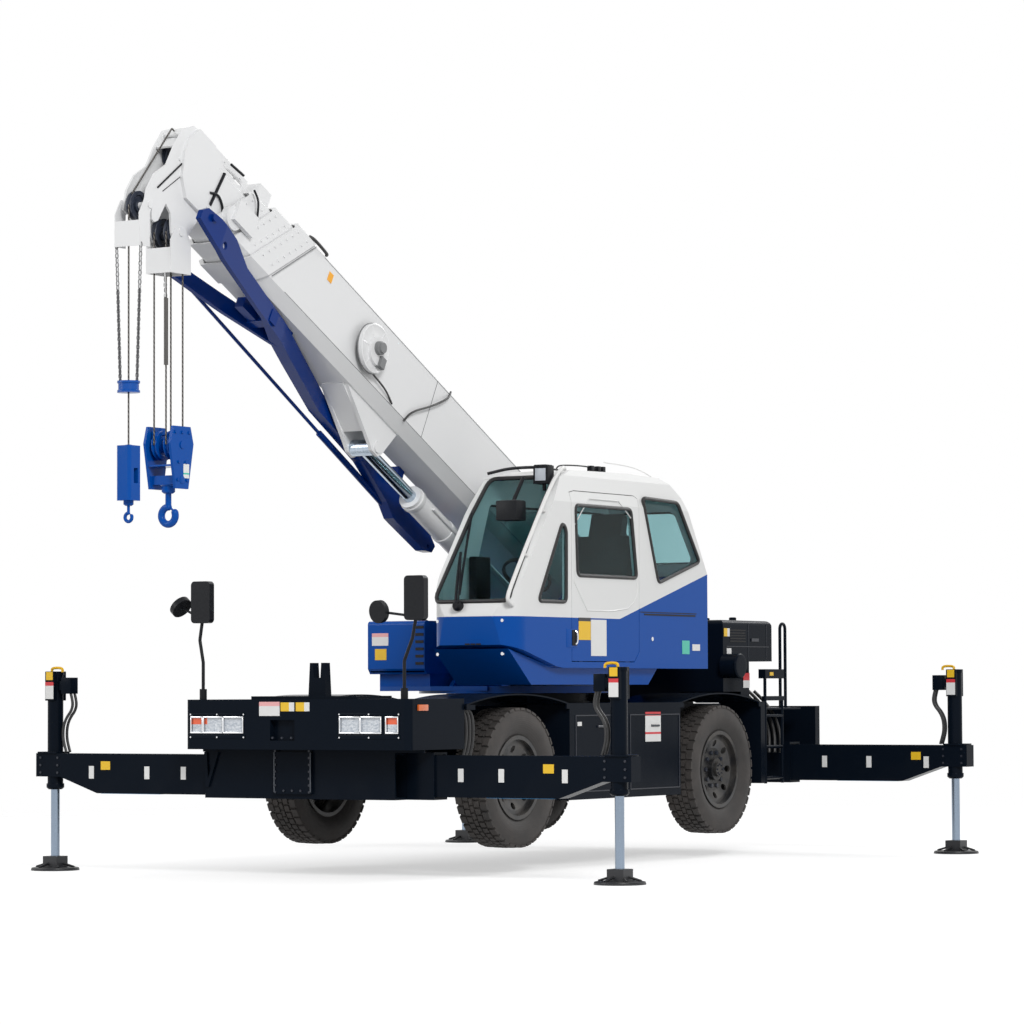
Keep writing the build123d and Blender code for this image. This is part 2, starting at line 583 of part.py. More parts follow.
# Counterweight: a curved slab across the tail
weight = block(-950, 195, 1240, TAIL_R + 10, 1380, 1900) & bar_z(0, 0, 1300, 2000, TAIL_R)
weight -= block(-1000, 200, 1200, 1290 + SEAT_GAP, 1300, 2000)
parts["counterweight"] = weight

# Right housing: the hydraulic tank and valves beside the boom
house = [(-650, 1480), (-620, 1440), (1200, 1440), (1230, 1480), (1230, 1845), (-650, 1845)]
housing = side_plate(house, -950, -430)
housing = fillet(housing.edges().filter_by(Axis.X).group_by(Axis.Z)[-1], 30)
housing -= block(-938, -442, -638, 1218, 1452, 1833)
housing += block(-900, -440, -560, 1100, PLATE_TOP, 1441)
parts["right_housing"] = housing

beacon = bar_z(-610, -420, 1845, 1990, 22) + bar_z(-610, -420, 1990, 2070, 48)
parts["beacon"] = beacon

# Winch behind the boom foot, under the foot pin
WINCH_Y = 1060.0
WINCH_Z = 1565.0
winch = bar_x(cheek_in[0] + SEAT_GAP, cheek_in[1] - SEAT_GAP, WINCH_Y, WINCH_Z, 115)
for x in (cheek_in[0] + SEAT_GAP, BOOM_X - 10, cheek_in[1] - 20 - SEAT_GAP):
    winch += bar_x(x, x + 20, WINCH_Y, WINCH_Z, 165)
parts["winch_drum"] = winch


# Cab: crossed outlines give the shell, its glass and its door the same form

def cab_form(inset):
    """Cab volume, with every wall moved in by inset."""
    side = [(1300, CAB_LOW), (1300, 2215), (935, 2800), (740, 2950), (250, CAB_ROOF), (-600, 2950),
            (-850, 2885), (-1090, 2620), (-1600, 1946), (-1625, 1850), (-1600, 1640), (-1000, 1488),
            (-900, CAB_LOW)]
    front = [(CAB_IN, CAB_LOW - 1), (CAB_OUT, CAB_LOW - 1), (CAB_OUT, 2700), (CAB_OUT - 55, 2900),
             (CAB_OUT - 130, CAB_ROOF + 1), (CAB_IN + 110, CAB_ROOF + 1), (CAB_IN + 20, 2900), (CAB_IN, 2700)]
    plan = Pos((CAB_IN + CAB_OUT) / 2, -160) * Rectangle(CAB_OUT - CAB_IN, 2940)
    plan = fillet(plan.vertices().group_by(Axis.Y)[0], 210)
    side_face = offset(Polygon(*side, align=None), amount=-inset, kind=Kind.INTERSECTION)
    front_face = offset(Polygon(*front, align=None), amount=-inset, kind=Kind.INTERSECTION)
    plan_face = offset(plan, amount=-inset)
    form = pushed_x(side_face, 0, 1200) & pushed_y(front_face, -1900, 1500)
    return form & pushed_z(plan_face, 1300, 3200)


def rounded(outline, gap, r):
    """Outline with rounded corners, drawn in by gap all round."""
    face = Polygon(*outline, align=None)
    face = fillet(face.vertices(), r)
    return offset(face, amount=-gap)


def window_cuts(gap):
    """Prisms through each window, drawn in by gap all round."""
    side_windows = [
        [(-905, 2545), (-1245, 1960), (-850, 1960), (-845, 2500)],
        [(-715, 2680), (105, 2680), (190, 2160), (-690, 2160)],
        [(285, 2775), (830, 2760), (1175, 2310), (520, 2130)],
    ]
    cuts = []
    for outline in side_windows:
        cuts.append(pushed_x(rounded(outline, gap, 30), CAB_OUT - 60, CAB_OUT + 20))
    inner = [(-1100, 1960), (1000, 2000), (900, 2700), (-800, 2700)]
    cuts.append(pushed_x(rounded(inner, gap, 50), CAB_IN - 20, CAB_IN + 60))
    screen = [(CAB_IN + 50, 1955), (CAB_OUT - 45, 1955), (CAB_OUT - 95, 2890), (CAB_IN + 70, 2890)]
    cuts.append(pushed_y(rounded(screen, gap, 50), -1900, -650))
    rear = [(CAB_IN + 80, 2300), (CAB_OUT - 80, 2300), (CAB_OUT - 110, 2700), (CAB_IN + 110, 2700)]
    cuts.append(pushed_y(rounded(rear, gap, 50), 800, 1500))
    return cuts


cab_outer = cab_form(0)
cab_shell = cab_outer - cab_form(CAB_WALL)
door_outline = [(-775, 2775), (-775, 1520), (150, 1520), (225, 1600), (235, 2770), (180, 2790), (-700, 2790)]
door_face = Polygon(*door_outline, align=None)
door_prism = pushed_x(door_face, CAB_OUT - 60, CAB_OUT + 20)
door_inner = offset(door_face, amount=-6, kind=Kind.INTERSECTION)
cab_door = cab_shell & pushed_x(door_inner, CAB_OUT - 60, CAB_OUT + 20)
cab_shell -= door_prism
# Two rollers carry the door on its sill
for y in (-620, 60):
    cab_door += block(CAB_OUT - 32, CAB_OUT - 12, y - 25, y + 25, 1520 + SEAT_GAP, 1540)
for cut in window_cuts(0):
    cab_shell -= cut
    cab_door -= cut
parts["cab_shell"] = cab_shell
parts["cab_door"] = cab_door

pane_skin = cab_form(10) - cab_form(10 + PANE)
glass = Part()
for cut in window_cuts(SEAT_GAP):
    glass += pane_skin & cut
parts["cab_glass"] = glass

# Cab interior: floor, seat and steering column
floor_z = CAB_LOW + CAB_WALL
seat_x = (CAB_IN + CAB_OUT) / 2
inside = block(CAB_IN + 90, CAB_OUT - 90, -250, 250, floor_z, floor_z + 230)
inside += block(CAB_IN + 110, CAB_OUT - 110, -330, 200, floor_z + 230, floor_z + 350)
back = [(130, floor_z + 330), (250, floor_z + 330), (420, floor_z + 950), (320, floor_z + 980)]
inside += side_plate(back, CAB_IN + 120, CAB_OUT - 120)
headrest = [(320, floor_z + 980), (400, floor_z + 940), (450, floor_z + 1130), (370, floor_z + 1150)]
inside += side_plate(headrest, seat_x - 140, seat_x + 140)
console = side_plate([(-200, floor_z), (-880, floor_z), (-1440, floor_z + 180), (-1420, floor_z + 330),
                      (-1120, floor_z + 420), (-1040, floor_z + 60), (-200, floor_z + 30)],
                     CAB_IN + 90, CAB_OUT - 120)
column = tube_between((seat_x, -1100, floor_z + 300), (seat_x, -820, floor_z + 640), 30)
tilt = Plane(origin=(seat_x, -820, floor_z + 640), z_dir=(0, 280, 340))
column += extrude(tilt * (Circle(190) - Circle(170)), amount=22)
column += extrude(tilt * Rectangle(350, 26), amount=16)
parts["cab_interior"] = inside + console + column

# Boom sections, level at first.  Each is a box with bevelled corners, cut on a slant


def section_outline(step, wall):
    """(x, h) corners of section number step, drawn in by wall."""
    half = BOOM_HALF_W - step * SECTION_STEP - wall
    low = BOOM_LOW + step * SECTION_STEP + wall
    high = BOOM_HIGH - step * SECTION_STEP - wall
    bevel_low = 75 - wall * 0.4
    bevel_high = 45 - wall * 0.4
    corners_xh = [
        (-half + bevel_low, low), (half - bevel_low, low), (half, low + bevel_low),
        (half, high - bevel_high), (half - bevel_high, high), (-half + bevel_high, high),
        (-half, high - bevel_high), (-half, low + bevel_low),
    ]
    return [(BOOM_X + x, h) for x, h in corners_xh]


def slanted(solid, step, s_top, grow=0.0):
    """Cut the front of a section on its slant."""
    high = BOOM_HIGH - step * SECTION_STEP
    top = s_top + grow
    outline = [(top - 400 * SECTION_CUT, high + 400), (top + 1200 * SECTION_CUT, high - 1200),
               (top + 3000, high - 1200), (top + 3000, high + 400)]
    return solid - boom_plate(outline, BOOM_X - 400, BOOM_X + 400)


def boom_tube(step, s_rear, s_top):
    high = section_outline(step, 0)
    shell = front_plate(high, -s_top - 900, -s_rear)
    shell -= front_plate(section_outline(step, BOOM_WALL), -s_top - 901, -s_rear + 1)
    return slanted(shell, step, s_top)


def collar(step, s_top):
    """Thickened band round the slanted front end."""
    band = front_plate(section_outline(step, -COLLAR_T), -s_top - 900, -s_top + COLLAR + 900)
    band -= front_plate(section_outline(step, BOOM_WALL), -s_top - 901, -s_top + COLLAR + 901)
    band = slanted(band, step, s_top)
    return band - slanted(block(BOOM_X - 400, BOOM_X + 400, -s_top - 1000, -s_top + 1500, -900, 900),
                          step, s_top, -COLLAR)


def pads(step, s_top):
    """Slide pads inside section number step that carry the next section."""
    inner = BOOM_HALF_W - step * SECTION_STEP - BOOM_WALL
    reach = SECTION_STEP - BOOM_WALL - SEAT_GAP
    low = BOOM_LOW + step * SECTION_STEP + BOOM_WALL
    high = BOOM_HIGH - step * SECTION_STEP - BOOM_WALL
    s_low = s_top + SECTION_CUT * (high - low) - 120
    solid = Part()
    for side in (-1, 1):
        solid += block(BOOM_X + side * 40, BOOM_X + side * (inner - 80), -s_low, -s_low + 100,
                       low, low + reach)
        x0 = BOOM_X + side * (inner - reach)
        solid += block(x0, BOOM_X + side * inner, -s_top + 20, -s_top + 120, -60, 60)
    solid += block(BOOM_X - 60, BOOM_X + 60, -s_top + 60, -s_top + 160, high - reach, high)
    return solid


base = boom_tube(0, -230, BASE_END) + collar(0, BASE_END) + pads(0, BASE_END)
base += bar_x(BOOM_X - BOOM_HALF_W - 22, BOOM_X + BOOM_HALF_W + 22, 0, 0, 110)
base -= bar_x(BOOM_X - 300, BOOM_X + 300, 0, 0, FOOT_PIN_R + RUNNING_FIT)
# Clevis for the lift cylinder: two plates under the base section with a boss outside each
# and a web across them ahead of the eye
clevis = [(LIFT_EYE_S - 190, BOOM_LOW + 30), (LIFT_EYE_S - 75, LIFT_EYE_H - 15),
          (LIFT_EYE_S - 40, LIFT_EYE_H - 55), (LIFT_EYE_S + 45, LIFT_EYE_H - 55),
          (LIFT_EYE_S + 110, LIFT_EYE_H - 15), (LIFT_EYE_S + 560, BOOM_LOW + 10)]
web = [(LIFT_EYE_S + 165, LIFT_EYE_H + 40), (LIFT_EYE_S + 560, BOOM_LOW - 10),
       (LIFT_EYE_S + 560, BOOM_LOW + 10), (LIFT_EYE_S + 160, LIFT_EYE_H + 60)]
base += boom_plate(web, BOOM_X - LIFT_EYE_HALF - 1, BOOM_X + LIFT_EYE_HALF + 1)
clevis_in = LIFT_EYE_HALF + SEAT_GAP
for side in (-1, 1):
    plate_x = sorted([BOOM_X + side * clevis_in, BOOM_X + side * (clevis_in + CLEVIS_T)])
    base += boom_plate(clevis, *plate_x)
    base += bar_x(BOOM_X + side * clevis_in, BOOM_X + side * (clevis_in + CLEVIS_T + 12),
                  -LIFT_EYE_S, LIFT_EYE_H, LIFT_PIN_R + 8)
parts["boom_base"] = raised(base)

section_rear = {1: 260, 2: 330, 3: 400}
for step in (1, 2):
    s_top = BASE_END + step * END_STEP
    section = boom_tube(step, section_rear[step], s_top) + collar(step, s_top) + pads(step, s_top)
    if step == 2:
        # Cable box and its round backing on the cab side, and a rope guide on the top
        side_x = BOOM_X + BOOM_HALF_W - 2 * SECTION_STEP
        section += bar_x(side_x - 1, side_x + 52, -s_top - 170, -40, 85)
        section += block(side_x + 50, side_x + 84, -s_top - 200, -s_top + 30, -70, 92)
        section += block(BOOM_X - 80, BOOM_X + 120, -s_top + 60, -s_top + 205, 299, 415)
    parts["boom_section_" + str(step + 1)] = raised(section)

# Last section with the boom head: two side plates carry the sheave pins
tip_end = 5490.0
tip = front_plate(section_outline(3, 0), -tip_end, -section_rear[3])
tip -= front_plate(section_outline(3, BOOM_WALL), -tip_end + 20, -section_rear[3] + 1)
head_plate = [
    (5485, -150), (5520, -300), (5560, -450), (5600, -470), (5655, -470), (5700, -440), (5770, -330),
    (5845, -300), (5862, -450), (5888, -480), (5922, -480), (5948, -440), (5962, -380), (5972, -462),
    (6028, -462), (6060, -330), (6040, -190), (5960, -60), (5950, 100), (5920, 260), (5830, 345),
    (5600, 345), (5480, 300), (5165, 269),
]
casing = [(5489, -160), (5700, -160), (5800, -60), (5860, 120),
          (5855, 230), (5790, 345), (5600, 345), (5489, 300)]
rope_rail = [(5110, 386), (5740, 386), (5740, 322), (5160, 322), (5160, 268), (5110, 268)]
head_inner = HEAD_PLATE_X - HEAD_PLATE_T / 2
head_outer = HEAD_PLATE_X + HEAD_PLATE_T / 2
tip_half = BOOM_HALF_W - 3 * SECTION_STEP
for side in (-1, 1):
    tip += boom_plate(head_plate, *sorted([BOOM_X + side * head_inner, BOOM_X + side * head_outer]))
    tip += boom_plate(casing, *sorted([BOOM_X + side * (head_outer - 1), BOOM_X + side * tip_half]))
    tip += boom_plate(rope_rail, BOOM_X + side * 60 - 3, BOOM_X + side * 60 + 3)
cover = [(5800, 345), (5812, 351), (5942, 106), (5930, 100)]
tip += boom_plate(cover, BOOM_X - head_inner - 1, BOOM_X + head_inner + 1)
tip += bar_x(BOOM_X - head_inner - 1, BOOM_X + head_inner + 1, -5895, 240, 18)
tip += bar_x(BOOM_X - head_inner - 1, BOOM_X + head_inner + 1, -5620, 334, 8)
for s in (5200, 5400):
    tip += bar_x(BOOM_X - 70, BOOM_X + 70, -s, 354, 8)
pin_reach = GUARD_X + GUARD_T + 8
head_pins = [(MAIN_S, MAIN_H, MAIN_PIN_R), (TOP_S, TOP_H, TOP_PIN_R), (AUX_S, AUX_H, AUX_PIN_R)]
for s, h, r in head_pins:
    tip += bar_x(BOOM_X - pin_reach, BOOM_X + pin_reach, -s, h, r)
parts["boom_tip"] = raised(tip)


def sheave(x_mid, y, z, r, bore):
    """Grooved wheel about an X axis through (y, z)."""
    hub = SHEAVE_HALF + 4
    ring = [(-14, r), (-ROPE_R, r - 14), (ROPE_R, r - 14), (14, r), (SHEAVE_HALF, r), (SHEAVE_HALF, r - 26),
            (8, r - 34), (8, 48), (hub, 48), (hub, bore), (-hub, bore), (-hub, 48), (-8, 48), (-8, r - 34),
            (-SHEAVE_HALF, r - 26), (-SHEAVE_HALF, r)]
    return Pos(x_mid, y, z) * revolve(Polygon(*ring, align=None), axis=Axis.X)


sheaves = Part()
for x in FALL_X:
    sheaves += sheave(BOOM_X + x, -MAIN_S, MAIN_H, HEAD_SHEAVE_R, MAIN_PIN_R + RUNNING_FIT)
    sheaves += sheave(BOOM_X + x, -TOP_S, TOP_H, TOP_SHEAVE_R, TOP_PIN_R + RUNNING_FIT)
sheaves += sheave(BOOM_X, -AUX_S, AUX_H, HEAD_SHEAVE_R, AUX_PIN_R + RUNNING_FIT)
parts["head_sheaves"] = raised(sheaves)

# Cable reel on the base section's cab side
reel_x = BOOM_X + BOOM_HALF_W
reel = bar_x(reel_x + SEAT_GAP, reel_x + 40, -3500, 25, 75) + bar_x(reel_x + 40, reel_x + 68, -3500, 25, 180)
reel += bar_x(reel_x + 68, reel_x + 98, -3480, 10, 105)
parts["cable_reel"] = raised(reel)


# Jib, stowed along the underside of the boom: its fork straddles the ropes, one leg on each
# side, and runs back into a single box beam that slants past the lift cylinder
jib_side = [
    (5690, -262), (5640, -215), (5475, -192), (5230, -198), (5000, -272), (3500, -276), (2950, -285),
    (2030, -317), (1620, -380), (1480, -440), (1500, -505), (1600, -545), (2110, -560), (2250, -500),
    (2700, -420), (3400, -415), (4040, -420), (4500, -412),
    (4700, -414), (5310, -404), (5444, -381), (5690, -330),
]
jib_plan = [
    (200, -5690), (190, -5400), (55, -4550), (15, -4300), (-224, -3400), (-245, -2950),
    (-300, -2030), (-322, -1480), (-402, -1480), (-385, -2030), (-330, -2950), (-310, -3400),
    (-85, -4300), (30, -4600), (150, -5400), (160, -5690),
]
jib = boom_plate(jib_side, -500, 300) & plan_plate(jib_plan, -700, 0)
far_leg = [(5160, -310), (5160, -415), (4700, -425), (4250, -418), (4250, -300)]
far_plan = [(-335, -5160), (-228, -4780), (-60, -4250), (-85, -4250), (-268, -4780), (-375, -5160)]
jib += boom_plate(far_leg, -500, 300) & plan_plate(far_plan, -700, 0)
jib += block(-165, 60, -4540, -4460, -395, -300)
jib += block(-125, -55, -4720, -4530, -390, -310)
jib += tube_between((-352, -5150, -370), (-354, -3150, -455), 13)
jib += tube_between((-354, -3160, -455), (-356, -2150, -492), 24)
jib += bar_x(155, 218, -5566, -245, 26)
jib -= bar_x(100, 230, -5350, -325, 28)
jib -= bar_x(-450, -250, -1570, -492, 16)
# Lugs that hang the jib from the underside of the base section
jib += block(-90, -25, -4240, -4160, -300, BOOM_LOW - SEAT_GAP)
jib += block(-330, -200, -2340, -2260, -340, BOOM_LOW - SEAT_GAP)
parts["stowed_jib"] = raised(jib)

# Lift cylinder between the cheeks and the boom's clevis
eye_y, eye_z = raised_point(LIFT_EYE_S, LIFT_EYE_H)
lift_y = eye_y - LIFT_BASE_Y
lift_z = eye_z - LIFT_BASE_Z
lift_length = hypot(lift_y, lift_z)
lift_angle = degrees(atan2(lift_z, -lift_y))
at_lift = Pos(BOOM_X, LIFT_BASE_Y, LIFT_BASE_Z) * Rot(-lift_angle, 0, 0)
barrel = bar_y(0, -LIFT_BARREL, -90, 0, LIFT_R) + bar_y(0, -LIFT_BARREL - 30, -LIFT_BARREL, 0, LIFT_R + 4)
barrel += bar_x(-80, 80, 0, 0, 85) + block(-60, 60, -110, 0, -70, 70)
barrel -= bar_x(-100, 100, 0, 0, LIFT_PIN_R + RUNNING_FIT)
barrel -= bar_y(0, -LIFT_BARREL - 31, -400, 0, LIFT_ROD_R + RUNNING_FIT)
parts["lift_barrel"] = at_lift * barrel
# The rod ends in an eye with its pin pressed in flush
rod = bar_y(0, -lift_length, -lift_length + 1170, 0, LIFT_ROD_R)
rod += bar_x(-LIFT_EYE_HALF, LIFT_EYE_HALF, -lift_length, 0, LIFT_EYE_R)
parts["lift_rod"] = at_lift * rod

# Rope guards, ropes and hooks hang plumb from the head sheaves
main_y, main_z = raised_point(MAIN_S, MAIN_H)
aux_y, aux_z = raised_point(AUX_S, AUX_H)
fall_y = HEAD_SHEAVE_R - 8 + SEAT_GAP
aux_rope_y = aux_y - fall_y
guard_deep = fall_y + ROPE_R + 5


def rope_guard(y_mid, z_mid, back, pin_r):
    """Open-bottomed box that hangs on a sheave pin round the ropes."""
    front = -guard_deep - GUARD_T
    outline = [(front, -280), (back, -280), (back, -60), (40, 40), (-50, 40), (front, -60)]
    outline = [(y_mid + y, z_mid + z) for y, z in outline]
    guard = Part()
    for side in (-1, 1):
        plate_x = sorted([BOOM_X + side * GUARD_X, BOOM_X + side * (GUARD_X + GUARD_T)])
        guard += side_plate(outline, *plate_x)
    wall_x = GUARD_X + GUARD_T / 2
    guard += block(BOOM_X - wall_x, BOOM_X + wall_x, y_mid + front, y_mid + front + GUARD_T,
                   z_mid - 280, z_mid - 110)
    return guard - bar_x(BOOM_X - 200, BOOM_X + 200, y_mid, z_mid, pin_r + RUNNING_FIT)


main_guard = rope_guard(main_y, main_z, guard_deep + GUARD_T, MAIN_PIN_R)
guard_back = main_y + guard_deep
main_guard += block(BOOM_X - GUARD_X - 4, BOOM_X + GUARD_X + 4, guard_back, guard_back + GUARD_T,
                    main_z - 280, main_z - 140)
# Its limit weight is a tube round one fall
cord_y = main_y - fall_y - 12
weight_x = BOOM_X + FALL_X[1]
main_guard += bar_z(weight_x, cord_y, 3940, main_z - 278, 4)
weight_y = main_y - fall_y
main_guard += bar_z(weight_x, weight_y, 3500, 3950, 15) - bar_z(weight_x, weight_y, 3400, 4000, 9)
parts["main_rope_guard"] = main_guard

# The auxiliary guard carries its limit weight, a spool, on two chains
aux_guard = rope_guard(aux_y, aux_z, 0, AUX_PIN_R)
spool = [(12, 3292), (76, 3292), (76, 3306), (69, 3312), (69, 3350), (76, 3356), (76, 3370), (12, 3370)]
spool = revolve(Plane.XZ * Polygon(*spool, align=None), axis=Axis.Z)
aux_guard += Pos(BOOM_X, aux_rope_y, 0) * spool
for side in (-1, 1):
    start = (BOOM_X + side * (GUARD_X + GUARD_T / 2), aux_rope_y, aux_z - 275)
    aux_guard += tube_between(start, (BOOM_X + side * 70, aux_rope_y, 3365), 5)
parts["aux_rope_guard"] = aux_guard


def crane_hook(x, y, z_top, z_low, size):
    """Shank, bowl and safety latch; size is the bowl's middle radius."""
    stock = size * 0.42
    centre_z = z_low + size + stock
    bowl = CenterArc((x, centre_z), size, 90, 290)
    path = Plane.XZ.offset(-y) * bowl
    hook = sweep(Plane(origin=path @ 0, z_dir=path % 0) * Circle(stock), path=path)
    tip = path @ 1
    hook += Pos(tip.X, tip.Y, tip.Z) * Sphere(stock)
    hook += Pos(x, y, centre_z + size) * Sphere(stock)
    hook += bar_z(x, y, centre_z + size, z_top, stock * 0.85)
    return hook + tube_between((x + stock * 0.5, y, centre_z + size), (tip.X, y, tip.Z), stock * 0.3)


BLOCK_HIGH = 3090.0
BLOCK_LOW = 2670.0
BLOCK_PIN_Z = 2965.0
AUX_HIGH = 2940.0
AUX_LOW = 2575.0
cheek_points = [(-95, BLOCK_HIGH), (95, BLOCK_HIGH), (128, 2975),
                (70, BLOCK_LOW), (-70, BLOCK_LOW), (-128, 2975)]
cheek_points = [(main_y + y, z) for y, z in cheek_points]
hook_block = Part()
for side in (-1, 1):
    x = BOOM_X + side * 105
    hook_block += side_plate(cheek_points, x - 10, x + 10)
hook_block += bar_x(BOOM_X - 122, BOOM_X + 122, main_y, BLOCK_PIN_Z, 25)
for x in FALL_X:
    hook_block += sheave(BOOM_X + x, main_y, BLOCK_PIN_Z, HEAD_SHEAVE_R, 24)
for low, high, half in ((2700, 2760, 55), (2820, 2832, 95)):
    hook_block += block(BOOM_X - 100, BOOM_X + 100, main_y - half, main_y + half, low, high)
hook_block += crane_hook(BOOM_X, main_y, 2720, 2410, 58)
parts["main_hook_block"] = hook_block

ropes = Part()
for x in FALL_X:
    for side in (-1, 1):
        ropes += bar_z(BOOM_X + x, main_y + side * fall_y, BLOCK_PIN_Z, main_z, ROPE_R)
parts["main_hook_ropes"] = ropes

aux = block(BOOM_X - 60, BOOM_X + 60, aux_rope_y - 66, aux_rope_y + 66, AUX_LOW, AUX_HIGH)
aux = chamfer(aux.edges().filter_by(Axis.Z), 18)
aux -= block(BOOM_X - 100, BOOM_X + 100, aux_rope_y - 20, aux_rope_y + 25, 2690, 2790)
aux += bar_z(BOOM_X, aux_rope_y, 2680, 2800, 14)
aux += crane_hook(BOOM_X, aux_rope_y, AUX_LOW + 5, 2425, 28)
parts["aux_hook"] = aux
parts["aux_hook_rope"] = bar_z(BOOM_X, aux_rope_y, AUX_HIGH, aux_z, ROPE_R)

for name, shape in parts.items():
    placed = Pos(0, ORIGIN_SHIFT, 0) * shape
    placed.label = name
    export_step(placed, "parts/" + name + ".step")
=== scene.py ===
import math

import bmesh
import bpy
from mathutils import Matrix, Vector


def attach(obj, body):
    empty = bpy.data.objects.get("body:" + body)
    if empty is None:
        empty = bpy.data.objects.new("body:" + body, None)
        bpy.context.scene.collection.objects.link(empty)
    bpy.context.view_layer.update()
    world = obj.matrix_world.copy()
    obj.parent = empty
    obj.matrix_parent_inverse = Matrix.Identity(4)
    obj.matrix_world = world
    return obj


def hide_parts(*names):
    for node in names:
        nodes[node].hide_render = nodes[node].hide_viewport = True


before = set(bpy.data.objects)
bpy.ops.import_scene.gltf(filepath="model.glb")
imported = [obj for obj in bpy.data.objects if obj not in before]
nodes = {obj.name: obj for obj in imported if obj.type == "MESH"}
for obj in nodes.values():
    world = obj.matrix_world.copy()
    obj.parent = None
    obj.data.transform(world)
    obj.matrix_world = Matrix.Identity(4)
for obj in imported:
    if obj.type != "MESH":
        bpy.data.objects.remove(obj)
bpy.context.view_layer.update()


# Carrier: chassis, outrigger boxes, axles, fenders and hood.  Welded steel plate in a very
# dark navy gloss, sprayed on the finished weldment, so the paint covers all.  Road dust
# lies thinly on the flat tops and low on the sides.

class Wire:
    """A socket of a material's node tree that can be used in sums."""

    def __init__(self, tree, socket):
        self.tree = tree
        self.socket = socket

    def node(self, kind, settings=None, inputs=None, output=0):
        made = self.tree.nodes.new("ShaderNode" + kind)
        for name, value in (settings or {}).items():
            setattr(made, name, value)
        for name, value in (inputs or {}).items():
            if isinstance(value, Wire):
                self.tree.links.new(value.socket, made.inputs[name])
            else:
                made.inputs[name].default_value = value
        return Wire(self.tree, made.outputs[output])

    def maths(self, operation, first, second=0.0):
        return self.node("Math", {"operation": operation}, {0: first, 1: second})

    def __add__(self, other):
        return self.maths("ADD", self, other)

    __radd__ = __add__

    def __sub__(self, other):
        return self.maths("SUBTRACT", self, other)

    def __rsub__(self, other):
        return self.maths("SUBTRACT", other, self)

    def __mul__(self, other):
        return self.maths("MULTIPLY", self, other)

    __rmul__ = __mul__

    def __gt__(self, other):
        return self.maths("GREATER_THAN", self, other)

    def __lt__(self, other):
        return self.maths("LESS_THAN", self, other)

    def clamped(self):
        return self.node("Clamp", None, {0: self})

    def axis(self, name):
        return self.node("SeparateXYZ", None, {0: self}, "XYZ".index(name))

    def stretched(self, x, y, z):
        return self.node("Mapping", None, {"Vector": self, "Scale": (x, y, z)})

    def noise(self, scale, detail=3.0):
        inputs = {"Vector": self, "Scale": scale, "Detail": detail, "Roughness": 0.55}
        return self.node("TexNoise", None, inputs)

    def sine(self):
        return self.maths("SINE", self)

    def __abs__(self):
        return self.maths("ABSOLUTE", self)

    def ramp(self, low, high):
        """0 below low, 1 above high."""
        return self.node("MapRange", None, {0: self, 1: low, 2: high, 3: 0.0, 4: 1.0})

    def mix(self, first, second):
        """Colour first where this is 0, second where it is 1."""
        colours = {0: self}
        for socket, colour in ((6, first), (7, second)):
            colours[socket] = colour if isinstance(colour, Wire) else (*colour, 1)
        return self.node("Mix", {"data_type": "RGBA"}, colours, 2)

    def bumped(self, strength, depth):
        return self.node("Bump", None, {"Strength": strength, "Distance": depth, "Height": self})


def new_finish(name):
    """An empty material, its Object coordinates and its shader's sockets."""
    material = bpy.data.materials.new(name)
    material.use_nodes = True
    tree = material.node_tree
    place = Wire(tree, tree.nodes.new("ShaderNodeTexCoord").outputs["Object"])
    return material, place, tree.nodes["Principled BSDF"].inputs


def feed(sockets, **values):
    """Sets or links the shader's sockets; an underscore stands for a space."""
    for name, value in values.items():
        socket = sockets[name.replace("_", " ")]
        if isinstance(value, Wire):
            value.tree.links.new(value.socket, socket)
        elif isinstance(value, tuple) and len(value) == 3:
            socket.default_value = (*value, 1)
        else:
            socket.default_value = value


def painted(name, tone, dust=(0.30, 0.28, 0.25), dust_share=0.20, gloss=0.26, coat=0.0, shine=0.3):
    """Gloss paint on steel.  tone is a colour, or a function of the place that gives one."""
    material, place, sockets = new_finish(name)
    colour = tone(place) if callable(tone) else tone
    mottle = place.noise(2.1, 4.0).ramp(0.35, 0.70)
    up = place.node("NewGeometry", None, None, "Normal").axis("Z")
    settled = up.ramp(0.6, 1.0) * place.noise(3.4, 5.0).ramp(0.40, 0.80)
    low = (1.0 - place.axis("Z").ramp(0.45, 1.0)) * place.noise(5.0, 4.0).ramp(0.45, 0.85)
    film = (settled * 0.7 + low * 0.4 + mottle * 0.06) * dust_share
    fine = place.noise(240, 2.0)
    feed(
        sockets,
        Base_Color=film.clamped().mix(colour, dust),
        Roughness=(gloss + film * 0.6 + fine * 0.05).clamped(),
        Normal=(place.noise(85, 2.0) + fine * 0.3).bumped(0.06, 0.0006),
        Coat_Weight=coat,
        Coat_Roughness=0.08,
        Specular_IOR_Level=shine,
    )
    return material


def wear(material, *names):
    for name in names:
        nodes[name].data.materials.clear()
        nodes[name].data.materials.append(material)


navy = painted("navy_gloss_paint", (0.0035, 0.0066, 0.0125), dust_share=0.03, gloss=0.22, shine=0.045)
wear(navy, "chassis_frame", "front_outrigger_box", "rear_outrigger_box", "front_axle", "rear_axle",
     "front_body", "left_side_body", "right_side_body", "engine_hood", "air_cleaner", "rear_ladder",
     "slewing_ring", "engine_block")

SLEW_Y = 0.8412          # the slewing axis, along the machine from its middle
CREASE = 0.6             # radians; sharper edges are eased and shaded as edges
ACROSS, ALONG, UP, FORE = (1, 0, 0), (0, 1, 0), (0, 0, 1), (0, -1, 0)
BOX_FACES = ((3, 2, 1, 0), (4, 5, 6, 7), (0, 1, 5, 4), (1, 2, 6, 5), (2, 3, 7, 6), (3, 0, 4, 7))


